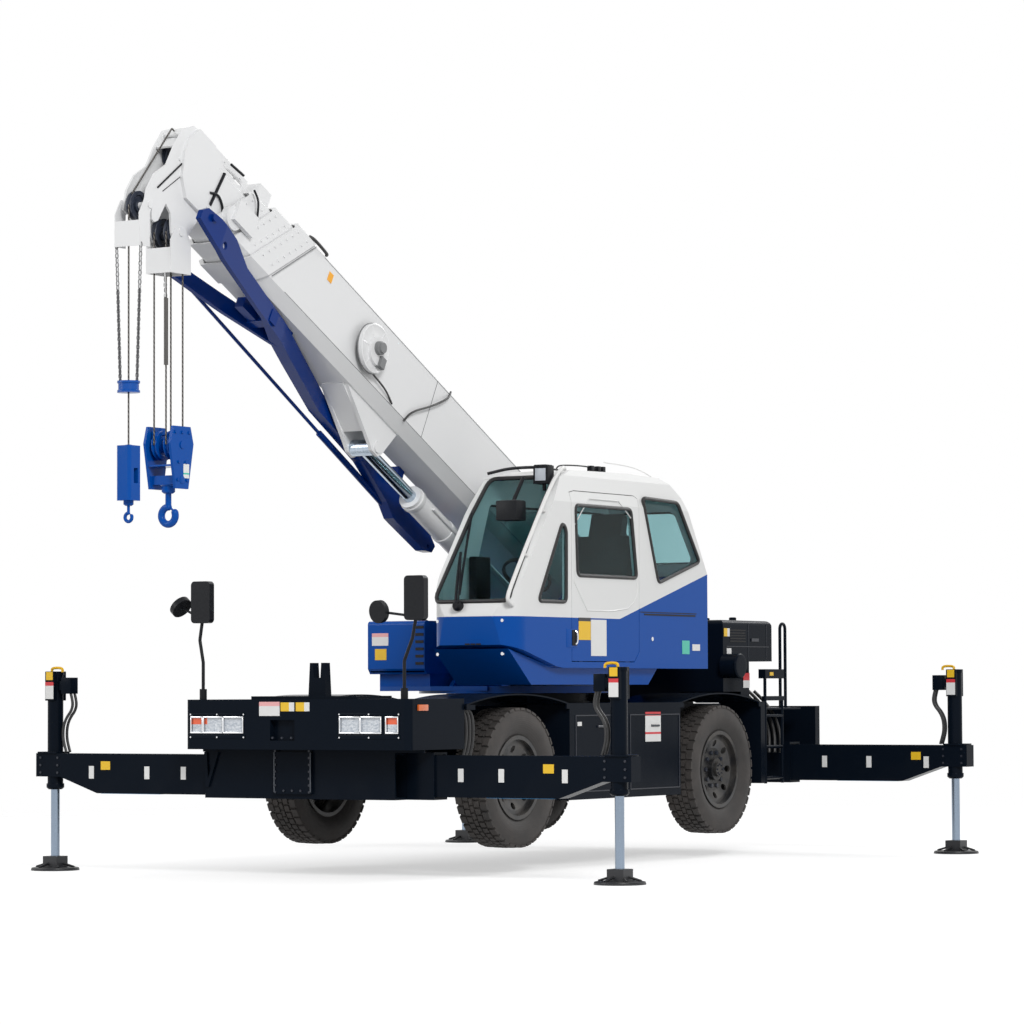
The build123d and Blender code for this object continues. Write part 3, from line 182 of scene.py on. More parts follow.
def add_slab(form, low, high):
    """Box between its low and high corners, y from the slewing axis."""
    spots = [form.verts.new((x, y + SLEW_Y, z)) for z in (low[2], high[2])
             for x, y in ((low[0], low[1]), (high[0], low[1]), (high[0], high[1]), (low[0], high[1]))]
    for loop in BOX_FACES:
        form.faces.new([spots[i] for i in loop])


def add_block(form, x, y, wide, deep, low, high):
    """Box round a middle: half its size across and along, then its lowest and highest z."""
    add_slab(form, (x - wide, y - deep, low), (x + wide, y + deep, high))


def square_to(line):
    """Two directions at right angles to a line and to each other."""
    side = line.cross(Vector((0, 0, 1)))
    if side.length < 0.001:
        side = line.cross(Vector((0, 1, 0)))
    side.normalize()
    return side, line.cross(side).normalized()


def add_turned(form, start, line, outline, steps=24):
    """(distance along the line, radius) points turned about it from start."""
    line = Vector(line).normalized()
    side, up = square_to(line)
    start = Vector(start) + Vector((0, SLEW_Y, 0))
    rings = []
    for along, radius in outline:
        ring = []
        for step in range(steps):
            angle = 2 * math.pi * step / steps
            ring.append(form.verts.new(start + line * along
                                       + (side * math.cos(angle) + up * math.sin(angle)) * radius))
        rings.append(ring)
    for ring, after in zip(rings, rings[1:]):
        for step in range(steps):
            form.faces.new((ring[step], ring[(step + 1) % steps], after[(step + 1) % steps], after[step]))
    form.faces.new(rings[0][::-1])
    form.faces.new(rings[-1])


def add_bar(form, start, end, radius, steps=12):
    length = (Vector(end) - Vector(start)).length
    add_turned(form, start, Vector(end) - Vector(start), [(0, radius), (length, radius)], steps)


def add_pipe(form, points, radius, steps=10, closed=False, rounds=3):
    """Bent pipe or hose: the corners are cut a few times, so that it runs smoothly."""
    points = [Vector(point) + Vector((0, SLEW_Y, 0)) for point in points]
    for _ in range(rounds):
        pairs = list(zip(points, points[1:] + points[:1])) if closed else list(zip(points, points[1:]))
        cut = [spot for a, b in pairs for spot in (a.lerp(b, 0.25), a.lerp(b, 0.75))]
        points = cut if closed else [points[0]] + cut[1:-1] + [points[-1]]
    count = len(points)
    up = None
    rings = []
    for i, point in enumerate(points):
        before = points[i - 1] if closed or i else point
        after = points[(i + 1) % count] if closed or i < count - 1 else point
        line = (after - before).normalized()
        if up is None:
            up = square_to(line)[1]
        side = line.cross(up).normalized()
        up = side.cross(line).normalized()
        ring = [form.verts.new(point + (side * math.cos(a) + up * math.sin(a)) * radius)
                for a in (2 * math.pi * step / steps for step in range(steps))]
        rings.append(ring)
    for i in range(count if closed else count - 1):
        ring, after = rings[i], rings[(i + 1) % count]
        shift = 0
        if closed and i == count - 1:
            shift = min(range(steps), key=lambda turn: (ring[0].co - after[turn].co).length)
        for step in range(steps):
            form.faces.new((ring[step], ring[(step + 1) % steps],
                            after[(step + 1 + shift) % steps], after[(step + shift) % steps]))
    if not closed:
        form.faces.new(rings[0][::-1])
        form.faces.new(rings[-1])


def placed(name, mesh, body):
    """An object of a mesh, riding on its body."""
    made = bpy.data.objects.new(name, mesh)
    bpy.context.scene.collection.objects.link(made)
    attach(made, body)
    return made


def finished(name, form, materials, body, bevel=0.0, place=None, smooth=True):
    """A piece from a form: faces outwards, edges eased, riding on its body."""
    bmesh.ops.recalc_face_normals(form, faces=form.faces)
    if bevel:
        sharp = [edge for edge in form.edges
                 if len(edge.link_faces) == 2 and edge.calc_face_angle() > CREASE]
        bmesh.ops.bevel(form, geom=sharp, offset=bevel, segments=2, affect="EDGES", profile=0.6,
                        clamp_overlap=True)
    if place:
        bmesh.ops.transform(form, matrix=place, verts=form.verts)
    for face in form.faces:
        face.smooth = smooth
    mesh = bpy.data.meshes.new(name)
    form.to_mesh(mesh)
    form.free()
    if smooth:
        mesh.set_sharp_from_angle(angle=CREASE)
    for material in materials if isinstance(materials, list) else [materials]:
        mesh.materials.append(material)
    return placed(name, mesh, body)


def slabs(name, corners, material, body, bevel=0.0):
    """A piece of boxes, each between its low and high corners."""
    form = bmesh.new()
    for low, high in corners:
        add_slab(form, low, high)
    finished(name, form, material, body, bevel)


def tree_with(name, inputs):
    """A geometry tree with named inputs and a material, its input sockets and its output node."""
    tree = bpy.data.node_groups.new(name, "GeometryNodeTree")
    tree.interface.new_socket("Geometry", in_out="OUTPUT", socket_type="NodeSocketGeometry")
    for label, kind in [("Geometry", "Geometry"), *inputs, ("Material", "Material")]:
        tree.interface.new_socket(label, in_out="INPUT", socket_type="NodeSocket" + kind)
    given = tree.nodes.new("NodeGroupInput").outputs
    return tree, given, tree.nodes.new("NodeGroupOutput")


def grow(tree, kind, settings=None, inputs=None):
    """A node of a geometry tree; gives back its outputs."""
    made = tree.nodes.new(kind)
    for name, value in (settings or {}).items():
        setattr(made, name, value)
    for name, value in (inputs or {}).items():
        if isinstance(value, bpy.types.NodeSocket):
            tree.links.new(value, made.inputs[name])
        else:
            made.inputs[name].default_value = value
    return made.outputs


def stored(tree, name):
    """A vector kept on each point."""
    return grow(tree, "GeometryNodeInputNamedAttribute", {"data_type": "FLOAT_VECTOR"}, {"Name": name})[0]


def turned_to_facing(tree):
    """The turn that lays z along each point's facing."""
    facing = stored(tree, "facing")
    return grow(tree, "FunctionNodeAlignRotationToVector", {"axis": "Z"}, {"Vector": facing})[0]


def stand_copies(tree, given, result, shape, turn, size=(1.0, 1.0, 1.0)):
    """A copy on every point, then Realize Instances and Set Material, the last steps of every tree."""
    spots = grow(tree, "GeometryNodeMeshToPoints", None, {"Mesh": given["Geometry"]})[0]
    copies = grow(tree, "GeometryNodeInstanceOnPoints", None,
                  {"Points": spots, "Instance": shape, "Rotation": turn, "Scale": size})[0]
    solid = grow(tree, "GeometryNodeRealizeInstances", None, {"Geometry": copies})[0]
    coated = grow(tree, "GeometryNodeSetMaterial", None,
                  {"Geometry": solid, "Material": given["Material"]})[0]
    tree.links.new(coated, result.inputs[0])


def grown(name, tree, carrier_mesh, values, body):
    """Runs a tree on a mesh and keeps the result as a plain mesh."""
    seed = bpy.data.objects.new(name + "_seed", carrier_mesh)
    bpy.context.scene.collection.objects.link(seed)
    modifier = seed.modifiers.new("grow", "NODES")
    modifier.node_group = tree
    for item in tree.interface.items_tree:
        if item.in_out == "INPUT" and item.name in values:
            modifier[item.identifier] = values[item.name]
    bpy.context.view_layer.update()
    seen = seed.evaluated_get(bpy.context.evaluated_depsgraph_get())
    mesh = bpy.data.meshes.new_from_object(seen)
    mesh.name = name
    seed.modifiers.remove(modifier)
    bpy.data.objects.remove(seed)
    return placed(name, mesh, body)


def point_mesh(name, spots, **vectors):
    """Points, y from the slewing axis, with the named vectors kept on each."""
    mesh = bpy.data.meshes.new(name + "_spots")
    mesh.from_pydata([(x, y + SLEW_Y, z) for x, y, z in spots], [], [])
    for label, rows in vectors.items():
        kept = mesh.attributes.new(label, "FLOAT_VECTOR", "POINT")
        kept.data.foreach_set("vector", [value for row in rows for value in row])
    return mesh


# Stud tree: a many-sided head on every point of a mesh, square to the point's facing
stud_tree, given, result = tree_with("studs", [("Radius", "Float"), ("Height", "Float"), ("Sides", "Int")])
head = grow(stud_tree, "GeometryNodeMeshCylinder", None,
            {"Vertices": given["Sides"], "Radius": given["Radius"], "Depth": given["Height"]})["Mesh"]
stand_copies(stud_tree, given, result, head, turned_to_facing(stud_tree))


def studs(name, places, radius, height, material, body, sides=6):
    """Bolt heads at (point, facing) places, y from the slewing axis."""
    spots, facings = zip(*places)
    grown(name, stud_tree, point_mesh(name, spots, facing=facings),
          {"Radius": radius, "Height": height, "Sides": sides, "Material": material}, body)


bolt_steel = painted("navy_bolt_paint", (0.024, 0.028, 0.040), gloss=0.22)
BOX_FRONT = -2.784       # the front outrigger box's face
bolts = [((x, BOX_FRONT, 0.60 + 0.29 * i / 6), FORE) for x in (-0.295, -0.003) for i in range(7)]
bolts += [((-0.295 + 0.292 * i / 4, BOX_FRONT, 0.610), FORE) for i in range(1, 4)]
bolts += [((x, -2.962, 0.985), FORE) for x in (-0.19, -0.11, -0.03)]
studs("front_box_bolts", bolts, 0.009, 0.012, bolt_steel, "carrier")
# The plate edges stand a little proud, in a grey much lighter than the navy: a painted highlight where the
# edges catch the light.
slabs("front_box_plate_edges", [((x, -2.788, 0.600), (x + 0.006, -2.781, 0.880)) for x in (-0.308, 0.004)],
      painted("edge_highlight_paint", (0.10, 0.11, 0.13), gloss=0.3), "carrier")


# Front and rear lamps: clear, amber and red lenses, set into the front body and the rear
# panel.  The front clusters have chrome bezels and flat backing strips with small screws.

def lens_tone(place):
    front = place.axis("Y") < 0
    high = place.axis("Z") > 1.079
    outer = abs(place.axis("X")) > 0.765
    broken = place.stretched(1, 1, 2.2).noise(48, 1.0).ramp(0.25, 0.80)
    clear = broken.mix((0.40, 0.45, 0.52), (0.80, 0.83, 0.86))
    marker = high.mix(clear, (0.85, 0.10, 0.015))
    tail = outer.mix((0.75, 0.28, 0.02), (0.45, 0.010, 0.008))
    return front.mix(tail, outer.mix(clear, marker))


material, place, sockets = new_finish("lamp_lenses")
ribs = (place.axis("X") * 420).sine()
feed(sockets, Base_Color=lens_tone(place), Roughness=0.08, Coat_Weight=0.8, Normal=ribs.bumped(0.25, 0.002))
wear(material, "lamps")


def bars_round(low, high, rim):
    """Four bars round a field, each by its low and high corner in the field's plane."""
    (a0, b0), (a1, b1) = low, high
    return (((a0 - rim, b1), (a1 + rim, b1 + rim)), ((a0 - rim, b0 - rim), (a1 + rim, b0)),
            ((a0 - rim, b0), (a0, b1)), ((a1, b0), (a1 + rim, b1)))


chrome_trim, place, sockets = new_finish("chrome_trim")
feed(sockets, Base_Color=(0.75, 0.76, 0.78), Metallic=1.0,
     Roughness=(place.noise(60) * 0.10 + 0.08).clamped())
NOSE_Y = -2.958          # the front body's face
form, panel, screws = bmesh.new(), bmesh.new(), []
for cluster in ([(-0.895, -0.805), (-0.785, -0.620), (-0.615, -0.450)],
                [(0.390, 0.555), (0.560, 0.725), (0.775, 0.865)]):
    for x0, x1 in cluster:
        for low, high in bars_round((x0, 1.025), (x1, 1.125), 0.010):
            add_slab(form, (low[0], -2.972, low[1]), (high[0], NOSE_Y, high[1]))
    left, right = cluster[0][0] - 0.022, cluster[-1][1] + 0.022
    for z0, z1 in ((1.140, 1.158), (0.978, 1.008)):
        add_slab(panel, (left, -2.964, z0), (right, NOSE_Y, z1))
    screws += [((x, -2.966, z), FORE) for x in (left + 0.012, (left + right) / 2, right - 0.012)
               for z in (1.149, 0.988)]
finished("lamp_bezels", form, chrome_trim, "carrier", 0.003)
finished("lamp_panels", panel, navy, "carrier", 0.002)
studs("lamp_screws", screws, 0.006, 0.006, chrome_trim, "carrier", 12)

amber, place, sockets = new_finish("amber_lens")
ribs = (place.axis("Z") * 900).sine()
feed(sockets, Base_Color=place.noise(30).mix((0.62, 0.10, 0.012), (0.80, 0.17, 0.02)), Roughness=0.12,
     Coat_Weight=0.7, Normal=ribs.bumped(0.2, 0.001))
slabs("side_markers", [((x, -2.86, 1.172), (x + 0.044, -2.74, 1.216)) for x in (0.930, -0.974)], amber,
      "carrier", 0.006)


# Blank plates: printed film on thin sheet, with its words left off and its colours kept.
# They are stuck flat on the panels, mostly a white field under a coloured band.

CARRIER, CAB, BOOM = "carrier", "superstructure", "boom"
PLATE_TONES = {
    "white": (0.80, 0.80, 0.79), "yellow": (0.86, 0.53, 0.015), "red": (0.66, 0.035, 0.045),
    "pink": (0.85, 0.42, 0.42), "green": (0.08, 0.55, 0.42), "dark": (0.02, 0.02, 0.025),
    "orange": (0.90, 0.40, 0.01),
}


def plain(name, tones, rough, bump, **more):
    """An even finish: tones is (scale, first, second), rough (scale, gain, least) and bump
    (scale, strength, depth), where each scale is that of a noise."""
    material, place, sockets = new_finish(name)
    feed(
        sockets,
        Base_Color=place.noise(tones[0]).mix(tones[1], tones[2]),
        Roughness=(place.noise(rough[0]) * rough[1] + rough[2]).clamped(),
        Normal=place.noise(bump[0]).bumped(bump[1], bump[2]),
        **more,
    )
    return material


plate_finish = {}
for tone, colour in PLATE_TONES.items():
    faded = tuple(share * 0.93 for share in colour)
    plate_finish[tone] = plain("plate_" + tone, (14, faded, colour), (14, 0.15, 0.32), (300, 0.04, 0.0004))


def blank_plate(name, centre, across, size, bands, body, place=None):
    """An upright plate.  bands is a tone, or (share of the height, tone) from the top down."""
    if isinstance(bands, str):
        bands = [(1, bands)]
    across, up = Vector(across), Vector(UP)
    out = across.cross(up)
    centre = Vector(centre) + Vector((0, SLEW_Y, 0))
    form = bmesh.new()
    top = size[1] / 2
    for index, (share, _) in enumerate(bands):
        low = top - share * size[1]
        spots = [form.verts.new(centre + across * x * size[0] + up * z + out * depth)
                 for depth in (-0.0008, 0.0018)
                 for x, z in ((-0.5, low), (0.5, low), (0.5, top), (-0.5, top))]
        for loop in BOX_FACES:
            form.faces.new([spots[i] for i in loop]).material_index = index
        top = low
    finished(name, form, [plate_finish[tone] for _, tone in bands], body, place=place,
             smooth=False)


blank_plate("front_plate_white", (-0.219, -2.961, 1.188), ACROSS, (0.176, 0.099),
            [(0.30, "pink"), (0.70, "white")], CARRIER)
for name, x in (("front_plate_yellow_1", -0.064), ("front_plate_yellow_2", 0.066)):
    blank_plate(name, (x - 0.022, -2.961, 1.202), ACROSS, (0.072, 0.062), "yellow", CARRIER)
    blank_plate(name + "_end", (x + 0.036, -2.961, 1.202), ACROSS, (0.044, 0.062), "white", CARRIER)


# Outrigger beams: welded box beams with a bolted jack at the end, in navy gloss.  Each has
# white reflectors and a yellow plate, and the jack's head carries a yellow hand lever.

#           name           side  y of the beam
CORNERS = (("front_left", 1, -2.525), ("front_right", -1, -2.675),
           ("rear_left", 1, 2.800), ("rear_right", -1, 2.950))
JACK_X = 2.370
REFLECTORS = {"front": (1.14, 1.47, 1.85, 1.98), "rear": (1.236, 1.636, 2.055, 2.145)}
for name, _, _ in CORNERS:
    wear(navy, name + "_outrigger_beam", name + "_knuckle")
cyan = painted("light_blue_underside", (0.012, 0.16, 0.36), gloss=0.3)
hose_rubber = plain("hose_rubber", (40, (0.012, 0.012, 0.013), (0.030, 0.030, 0.031)), (90, 0.2, 0.38),
                    (500, 0.2, 0.0005))
lever_yellow = painted("lever_yellow_paint", (0.86, 0.50, 0.015), gloss=0.3)
for name, side, y in CORNERS:
    body = name + "_beam"
    jack = side * JACK_X
    for face, end in ((-1, "fore"), (1, "aft")):
        across = (-face, 0, 0)
        for number, x in enumerate(REFLECTORS[name.split("_")[0]]):
            tone, z, size = "white", 0.725, (0.045, 0.092)
            if number == 2:
                tone, z, size = "yellow", 0.775, (0.085, 0.062)
            blank_plate("%s_%s_%d" % (name, end, number), (side * x, y + face * 0.0655, z), across, size,
                        tone, body)
        out = y + face * 0.072
        blank_plate("%s_jack_%s" % (name, end), (jack, out, 1.325), across, (0.075, 0.125),
                    [(0.22, "red"), (0.78, "white")], body)
        blank_plate("%s_head_%s" % (name, end), (jack, out, 1.432), across, (0.062, 0.060), "yellow", body)
    form = bmesh.new()
    for face in (-1, 1):
        add_block(form, jack, y + face * 0.0365, 0.043, 0.0345, 1.250, 1.466)
    add_block(form, side * (JACK_X - 0.13), y, 0.045, 0.045, 1.300, 1.420)
    add_block(form, side * (JACK_X - 0.09), y, 0.035, 0.040, 1.325, 1.395)
    add_block(form, side * (JACK_X + 0.018), y, 0.09, 0.078, 0.860, 0.874)
    add_turned(form, (jack, y, 0.640), (0, 0, -1), [(0, 0.066), (0.03, 0.066), (0.045, 0.05)])
    finished(name + "_jack_valve", form, navy, body, 0.004)
    form = bmesh.new()
    near, far = side * (JACK_X - 0.09), side * (JACK_X + 0.01)
    add_pipe(form, [(x, y - 0.03, z) for x, z in ((near, 1.46), (near, 1.492), (far, 1.492), (far, 1.466))],
             0.010)
    finished(name + "_hand_lever", form, lever_yellow, body)
    form = bmesh.new()
    for offset in (-0.022, 0.022):
        bends = ((0.16, 1.31), (0.19, 1.20), (0.10, 1.10), (0.085, 0.98), (0.12, 0.87))
        add_pipe(form, [(side * (JACK_X - inwards), y + offset, z) for inwards, z in bends], 0.011)
    finished(name + "_jack_hoses", form, hose_rubber, body)
    form = bmesh.new()
    add_block(form, side * 1.62, y, 0.27, 0.066, 0.570, 0.5722)
    finished(name + "_underside", form, cyan, body)
    places = [((side * (JACK_X + dx), y + face * 0.067, z), (0, face, 0))
              for face in (-1, 1) for dx in (-0.075, 0.085) for z in (0.72, 0.775, 0.83)]
    studs(name + "_jack_bolts", places, 0.010, 0.012, bolt_steel, body)

# Jack legs: hard chromed rods with a round steel float on each
float_black = painted("float_black_paint", (0.012, 0.013, 0.016), gloss=0.35)
material, place, sockets = new_finish("jack_leg_finish")
foot = place.axis("Z") < 0.105
feed(sockets, Base_Color=foot.mix((0.26, 0.32, 0.40), (0.014, 0.015, 0.018)), Metallic=1.0 - foot,
     Roughness=(foot * 0.25 + 0.16 + place.stretched(40, 40, 2).noise(3.0) * 0.08).clamped(),
     Normal=place.noise(120).bumped(0.05, 0.0004))
wear(material, *[name + "_jack_leg" for name, _, _ in CORNERS])
for name, side, y in CORNERS:
    form = bmesh.new()
    add_turned(form, (side * JACK_X, y, 0.012), UP,
               [(0, 0.176), (0.007, 0.174), (0.010, 0.160), (0.010, 0.10)], 40)
    for turn in range(6):
        c, s = math.cos(math.pi * turn / 3 + 0.3), math.sin(math.pi * turn / 3 + 0.3)
        add_bar(form, (side * JACK_X + 0.05 * c, y + 0.05 * s, 0.055),
                (side * JACK_X + 0.150 * c, y + 0.150 * s, 0.024), 0.009, 6)
    finished(name + "_float_ribs", form, float_black, name + "_leg")


# Wheels: wide tyres with a block tread on black steel disc wheels.  The blocks stand on the
# moulded carcass in five rows, and ten nuts hold each wheel to its hub.

HUB_Z, TRACK_HALF, AXLE_Y = 0.684, 0.830, 1.508


def wheel_radius(place):
    """Distance from the nearer axle's line."""
    y = abs(place.axis("Y") - SLEW_Y) - AXLE_Y
    z = place.axis("Z") - HUB_Z
    square = y * y + z * z
    return square.maths("SQRT", square)


tyre_rubber, place, sockets = new_finish("tyre_rubber")
r = wheel_radius(place)
rings = (r * 420).sine() * (1.0 - r.ramp(0.440, 0.462))
grime = place.noise(7, 5.0).ramp(0.30, 0.75) * (r.ramp(0.30, 0.50) * 0.6 + 0.25)
feed(sockets, Base_Color=grime.mix((0.028, 0.026, 0.025), (0.080, 0.070, 0.065)),
     Roughness=(grime * 0.15 + 0.70).clamped(),
     Normal=(rings * 0.25 + place.noise(150) * 0.5).bumped(0.35, 0.002))
wheel_black, place, sockets = new_finish("wheel_black_enamel")
grime = place.noise(9, 4.0).ramp(0.35, 0.80)
feed(sockets, Base_Color=grime.mix((0.010, 0.011, 0.013), (0.075, 0.068, 0.060)),
     Roughness=(grime * 0.25 + 0.30).clamped(), Normal=place.noise(110).bumped(0.08, 0.0005))

# Block tree: a block, narrower on top, on every point, z along its facing and x along the axle
block_tree, given, result = tree_with("tread_blocks", [("Ease", "Float")])
turned = grow(block_tree, "FunctionNodeAlignRotationToVector", {"axis": "X", "pivot_axis": "Z"},
              {"Rotation": turned_to_facing(block_tree), "Vector": (1.0, 0.0, 0.0)})[0]
cube = grow(block_tree, "GeometryNodeMeshCube", None, {"Size": (1.0, 1.0, 1.0)})["Mesh"]
position = grow(block_tree, "GeometryNodeInputPosition")[0]
height = grow(block_tree, "ShaderNodeSeparateXYZ", None, {0: position})[2]
upper = grow(block_tree, "FunctionNodeCompare", {"data_type": "FLOAT"}, {0: height, 1: 0.0})[0]
ease = grow(block_tree, "ShaderNodeCombineXYZ", None, {"X": given["Ease"], "Y": given["Ease"], "Z": 1.0})[0]
eased = grow(block_tree, "ShaderNodeVectorMath", {"operation": "MULTIPLY"}, {0: position, 1: ease})[0]
cube = grow(block_tree, "GeometryNodeSetPosition", None,
            {"Geometry": cube, "Selection": upper, "Position": eased})[0]
stand_copies(block_tree, given, result, cube, turned, stored(block_tree, "size"))


def blocks_at(name, places, ease, material, body):
    """Blocks at (point, facing, size) places, y from the slewing axis."""
    spots, facings, sizes = zip(*places)
    grown(name, block_tree, point_mesh(name, spots, facing=facings, size=sizes),
          {"Ease": ease, "Material": material}, body)


#             across  width   length  count  phase  top radius
TREAD_ROWS = ((-0.100, 0.056, 0.062, 40, 0.0, 0.5020), (-0.044, 0.044, 0.046, 54, 0.3, 0.5045),
              (0.0, 0.030, 0.050, 54, 0.8, 0.5055), (0.044, 0.044, 0.046, 54, 0.1, 0.5045),
              (0.100, 0.056, 0.062, 40, 0.5, 0.5020))
BLOCK_DEPTH = 0.018
HALF_CARCASS = [(0.094, 0.288), (0.094, 0.307), (0.112, 0.330), (0.133, 0.372), (0.137, 0.410),
                (0.131, 0.452), (0.126, 0.470), (0.122, 0.486), (0.100, 0.490)]
CARCASS = [(-across, radius) for across, radius in HALF_CARCASS] + [(0.0, 0.4935)] + HALF_CARCASS[::-1]


def ring_places(x, y, radius, count, side):
    """(point, facing) places in a ring round a hub's line."""
    angles = [2 * math.pi * step / count for step in range(count)]
    return [((side * x, y + radius * math.cos(a), HUB_Z + radius * math.sin(a)), (side, 0, 0))
            for a in angles]


for end, y in (("front", -AXLE_Y), ("rear", AXLE_Y)):
    for side_name, side in (("left", 1), ("right", -1)):
        corner = end + "_" + side_name
        body = corner + "_wheel"
        form = bmesh.new()
        add_turned(form, (side * TRACK_HALF, y, HUB_Z), ACROSS, CARCASS, 72)
        caps = [face for face in form.faces if len(face.verts) > 4]
        inner, outer = [list(face.verts) for face in caps]
        inner.reverse()
        bmesh.ops.delete(form, geom=caps, context="FACES_ONLY")
        for step in range(72):
            after = (step + 1) % 72
            form.faces.new((inner[step], inner[after], outer[after], outer[step]))
        carcass = finished(corner + "_carcass", form, tyre_rubber, body)
        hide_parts(corner + "_tyre")
        places = []
        for across, width, length, count, phase, top in TREAD_ROWS:
            middle = top - BLOCK_DEPTH / 2
            for step in range(count):
                angle = 2 * math.pi * (step + phase) / count
                out = (0.0, math.cos(angle), math.sin(angle))
                places.append(((side * TRACK_HALF + across, y + out[1] * middle, HUB_Z + out[2] * middle),
                               out, (width, length, BLOCK_DEPTH)))
        blocks_at(corner + "_tread", places, 0.90, tyre_rubber, body)
        wear(wheel_black, corner + "_rim")
        studs(corner + "_wheel_nuts", ring_places(0.880, y, 0.135, 10, side), 0.017, 0.026, bolt_steel, body)
        studs(corner + "_hub_bolts", ring_places(0.936, y, 0.040, 8, side), 0.007, 0.010, bolt_steel, body)


# Carrier fittings: mirrors of black plastic on bent poles, side plates, rubber hoses to the
# front beams, and the edges and handles of the steel locker doors.

mirror_black = plain("mirror_black_plastic", (50, (0.006, 0.007, 0.009), (0.014, 0.015, 0.018)),
                     (200, 0.12, 0.30), (420, 0.12, 0.0004), Specular_IOR_Level=0.15)
wear(mirror_black, "mirrors")
blank_plate("locker_plate", (0.981, 0.371, 1.031), ALONG, (0.235, 0.225),
            [(0.13, "red"), (0.55, "white"), (0.07, "red"), (0.25, "white")], CARRIER)
blank_plate("fender_plate", (0.981, -0.72, 1.062), ALONG, (0.060, 0.030), "white", CARRIER)
form = bmesh.new()
for side in (-1, 1):
    for y in (-0.40, 0.40):
        for low, high in bars_round((y - 0.372, 0.568), (y + 0.372, 1.120), 0.008):
            add_slab(form, (side * 0.982 - 0.003, *low), (side * 0.982 + 0.003, *high))
        add_bar(form, (side * 0.984, y - 0.06, 1.04), (side * 0.984, y + 0.06, 1.04), 0.009)
finished("locker_door_seams", form, bolt_steel, CARRIER)
form = bmesh.new()
bends = ((0.86, -2.28, 1.13), (0.90, -2.26, 1.18), (0.93, -2.20, 1.15), (0.93, -2.19, 0.95),
         (0.90, -2.22, 0.80), (0.80, -2.30, 0.74))
for side in (-1, 1):
    for offset in (0.0, 0.045, 0.090):
        add_pipe(form, [(side * x, y + offset, z) for x, y, z in bends], 0.013)
finished("beam_hoses", form, hose_rubber, CARRIER)


# Superstructure: turntable, counterweight and right housing in bright blue gloss enamel on
# welded plate.  The orange beacon stands on the housing.

blue = painted("blue_gloss_enamel", (0.0006, 0.072, 0.36), dust_share=0.06, gloss=0.16, shine=0.13)
wear(blue, "turntable", "counterweight", "right_housing")
wear(amber, "beacon")
blank_plate("housing_plate_white", (-0.835, -0.651, 1.705), ACROSS, (0.150, 0.095),
            [(0.30, "pink"), (0.70, "white")], CAB)
blank_plate("housing_plate_yellow", (-0.830, -0.651, 1.590), ACROSS, (0.105, 0.085), "yellow", CAB)
# Near black: the colour of the dark door seams, and painted shade inside the louvre slots and the door
# handle's hole.
seam_and_slot_shade_black = painted("seam_and_slot_shade_black", (0.004, 0.004, 0.005), gloss=0.6)
# Louvre slots on the housing: black blocks, painted shade in the openings.
places = [((-0.475, -0.651, 1.52 + 0.055 * i), FORE, (0.075, 0.022, 0.006)) for i in range(6)]
blocks_at("housing_louvres", places, 0.97, seam_and_slot_shade_black, CAB)
seams = [((-0.953, y + y0, z0), (-0.949, y + y1, z1)) for y in (-0.35, 0.25, 0.85)
         for y0, y1, z0, z1 in ((-0.26, -0.254, 1.5, 1.8), (0.254, 0.26, 1.5, 1.8),
                                (-0.26, 0.26, 1.797, 1.803))]
slabs("housing_door_seams", seams, seam_and_slot_shade_black, CAB)
form = bmesh.new()
add_turned(form, (-0.61, -0.42, 1.985), UP, [(0, 0.052), (0.012, 0.052), (0.014, 0.045)])
add_turned(form, (-0.61, -0.42, 1.840), UP, [(0, 0.05), (0.015, 0.05), (0.018, 0.03)])
finished("beacon_base", form, mirror_black, CAB)
FOOT_Y, FOOT_Z = 0.85, 2.10      # the boom's foot pin
form = bmesh.new()
for x in (-0.39, 0.15):
    add_turned(form, (x, FOOT_Y, FOOT_Z), ACROSS, [(0, 0.085), (0.012, 0.085), (0.016, 0.060), (0.06, 0.060)],
               28)
finished("foot_pin_plates", form, blue, CAB, 0.002)
drum_steel, place, sockets = new_finish("greased_drum")
lays = (place.axis("X") * 520).sine()
feed(sockets, Base_Color=place.noise(30).mix((0.035, 0.033, 0.030), (0.10, 0.095, 0.09)), Metallic=0.9,
     Roughness=(place.noise(20) * 0.2 + 0.35).clamped(), Normal=lays.bumped(0.6, 0.004))
wear(drum_steel, "winch_drum")


# Cab: pressed steel shell in white over blue, with the colour line level to the door and
# rising behind it.  Windows sit in black rubber, and a rod for the hand stands by the pillar.

def cab_tone(place):
    line = 1.846 + (place.axis("Y") - 0.773).ramp(0.0, 1.37) * 0.370
    return (place.axis("Z") < line).mix((0.78, 0.785, 0.78), (0.0006, 0.072, 0.36))


cab_paint = painted("cab_two_tone_enamel", cab_tone, dust_share=0.05, gloss=0.18, shine=0.12)
wear(cab_paint, "cab_shell", "cab_door")
CAB_OUT, CAB_IN, CAB_CORNER = 0.950, 0.222, 0.210
CAB_SIDE = [(1.300, 1.475), (1.300, 2.215), (0.935, 2.800), (0.740, 2.950), (0.250, 2.965), (-0.600, 2.950),
            (-0.850, 2.885), (-1.090, 2.620), (-1.600, 1.946), (-1.625, 1.850), (-1.600, 1.640)]


def profile_y(z, rear=False):
    """The cab's front or rear skin at a height, from its side outline."""
    run = CAB_SIDE[1:5] if rear else CAB_SIDE[4:]
    for (y0, z0), (y1, z1) in zip(run, run[1:]):
        if min(z0, z1) <= z <= max(z0, z1):
            return y0 + (y1 - y0) * (z - z0) / (z1 - z0)
    return run[-1][0]


def front_skin(x, z):
    """The front skin, with the corners rounded in plan."""
    over = max(x - (CAB_OUT - CAB_CORNER), CAB_IN + CAB_CORNER - x, 0.0)
    return max(profile_y(z), -1.420 - math.sqrt(CAB_CORNER ** 2 - over ** 2))


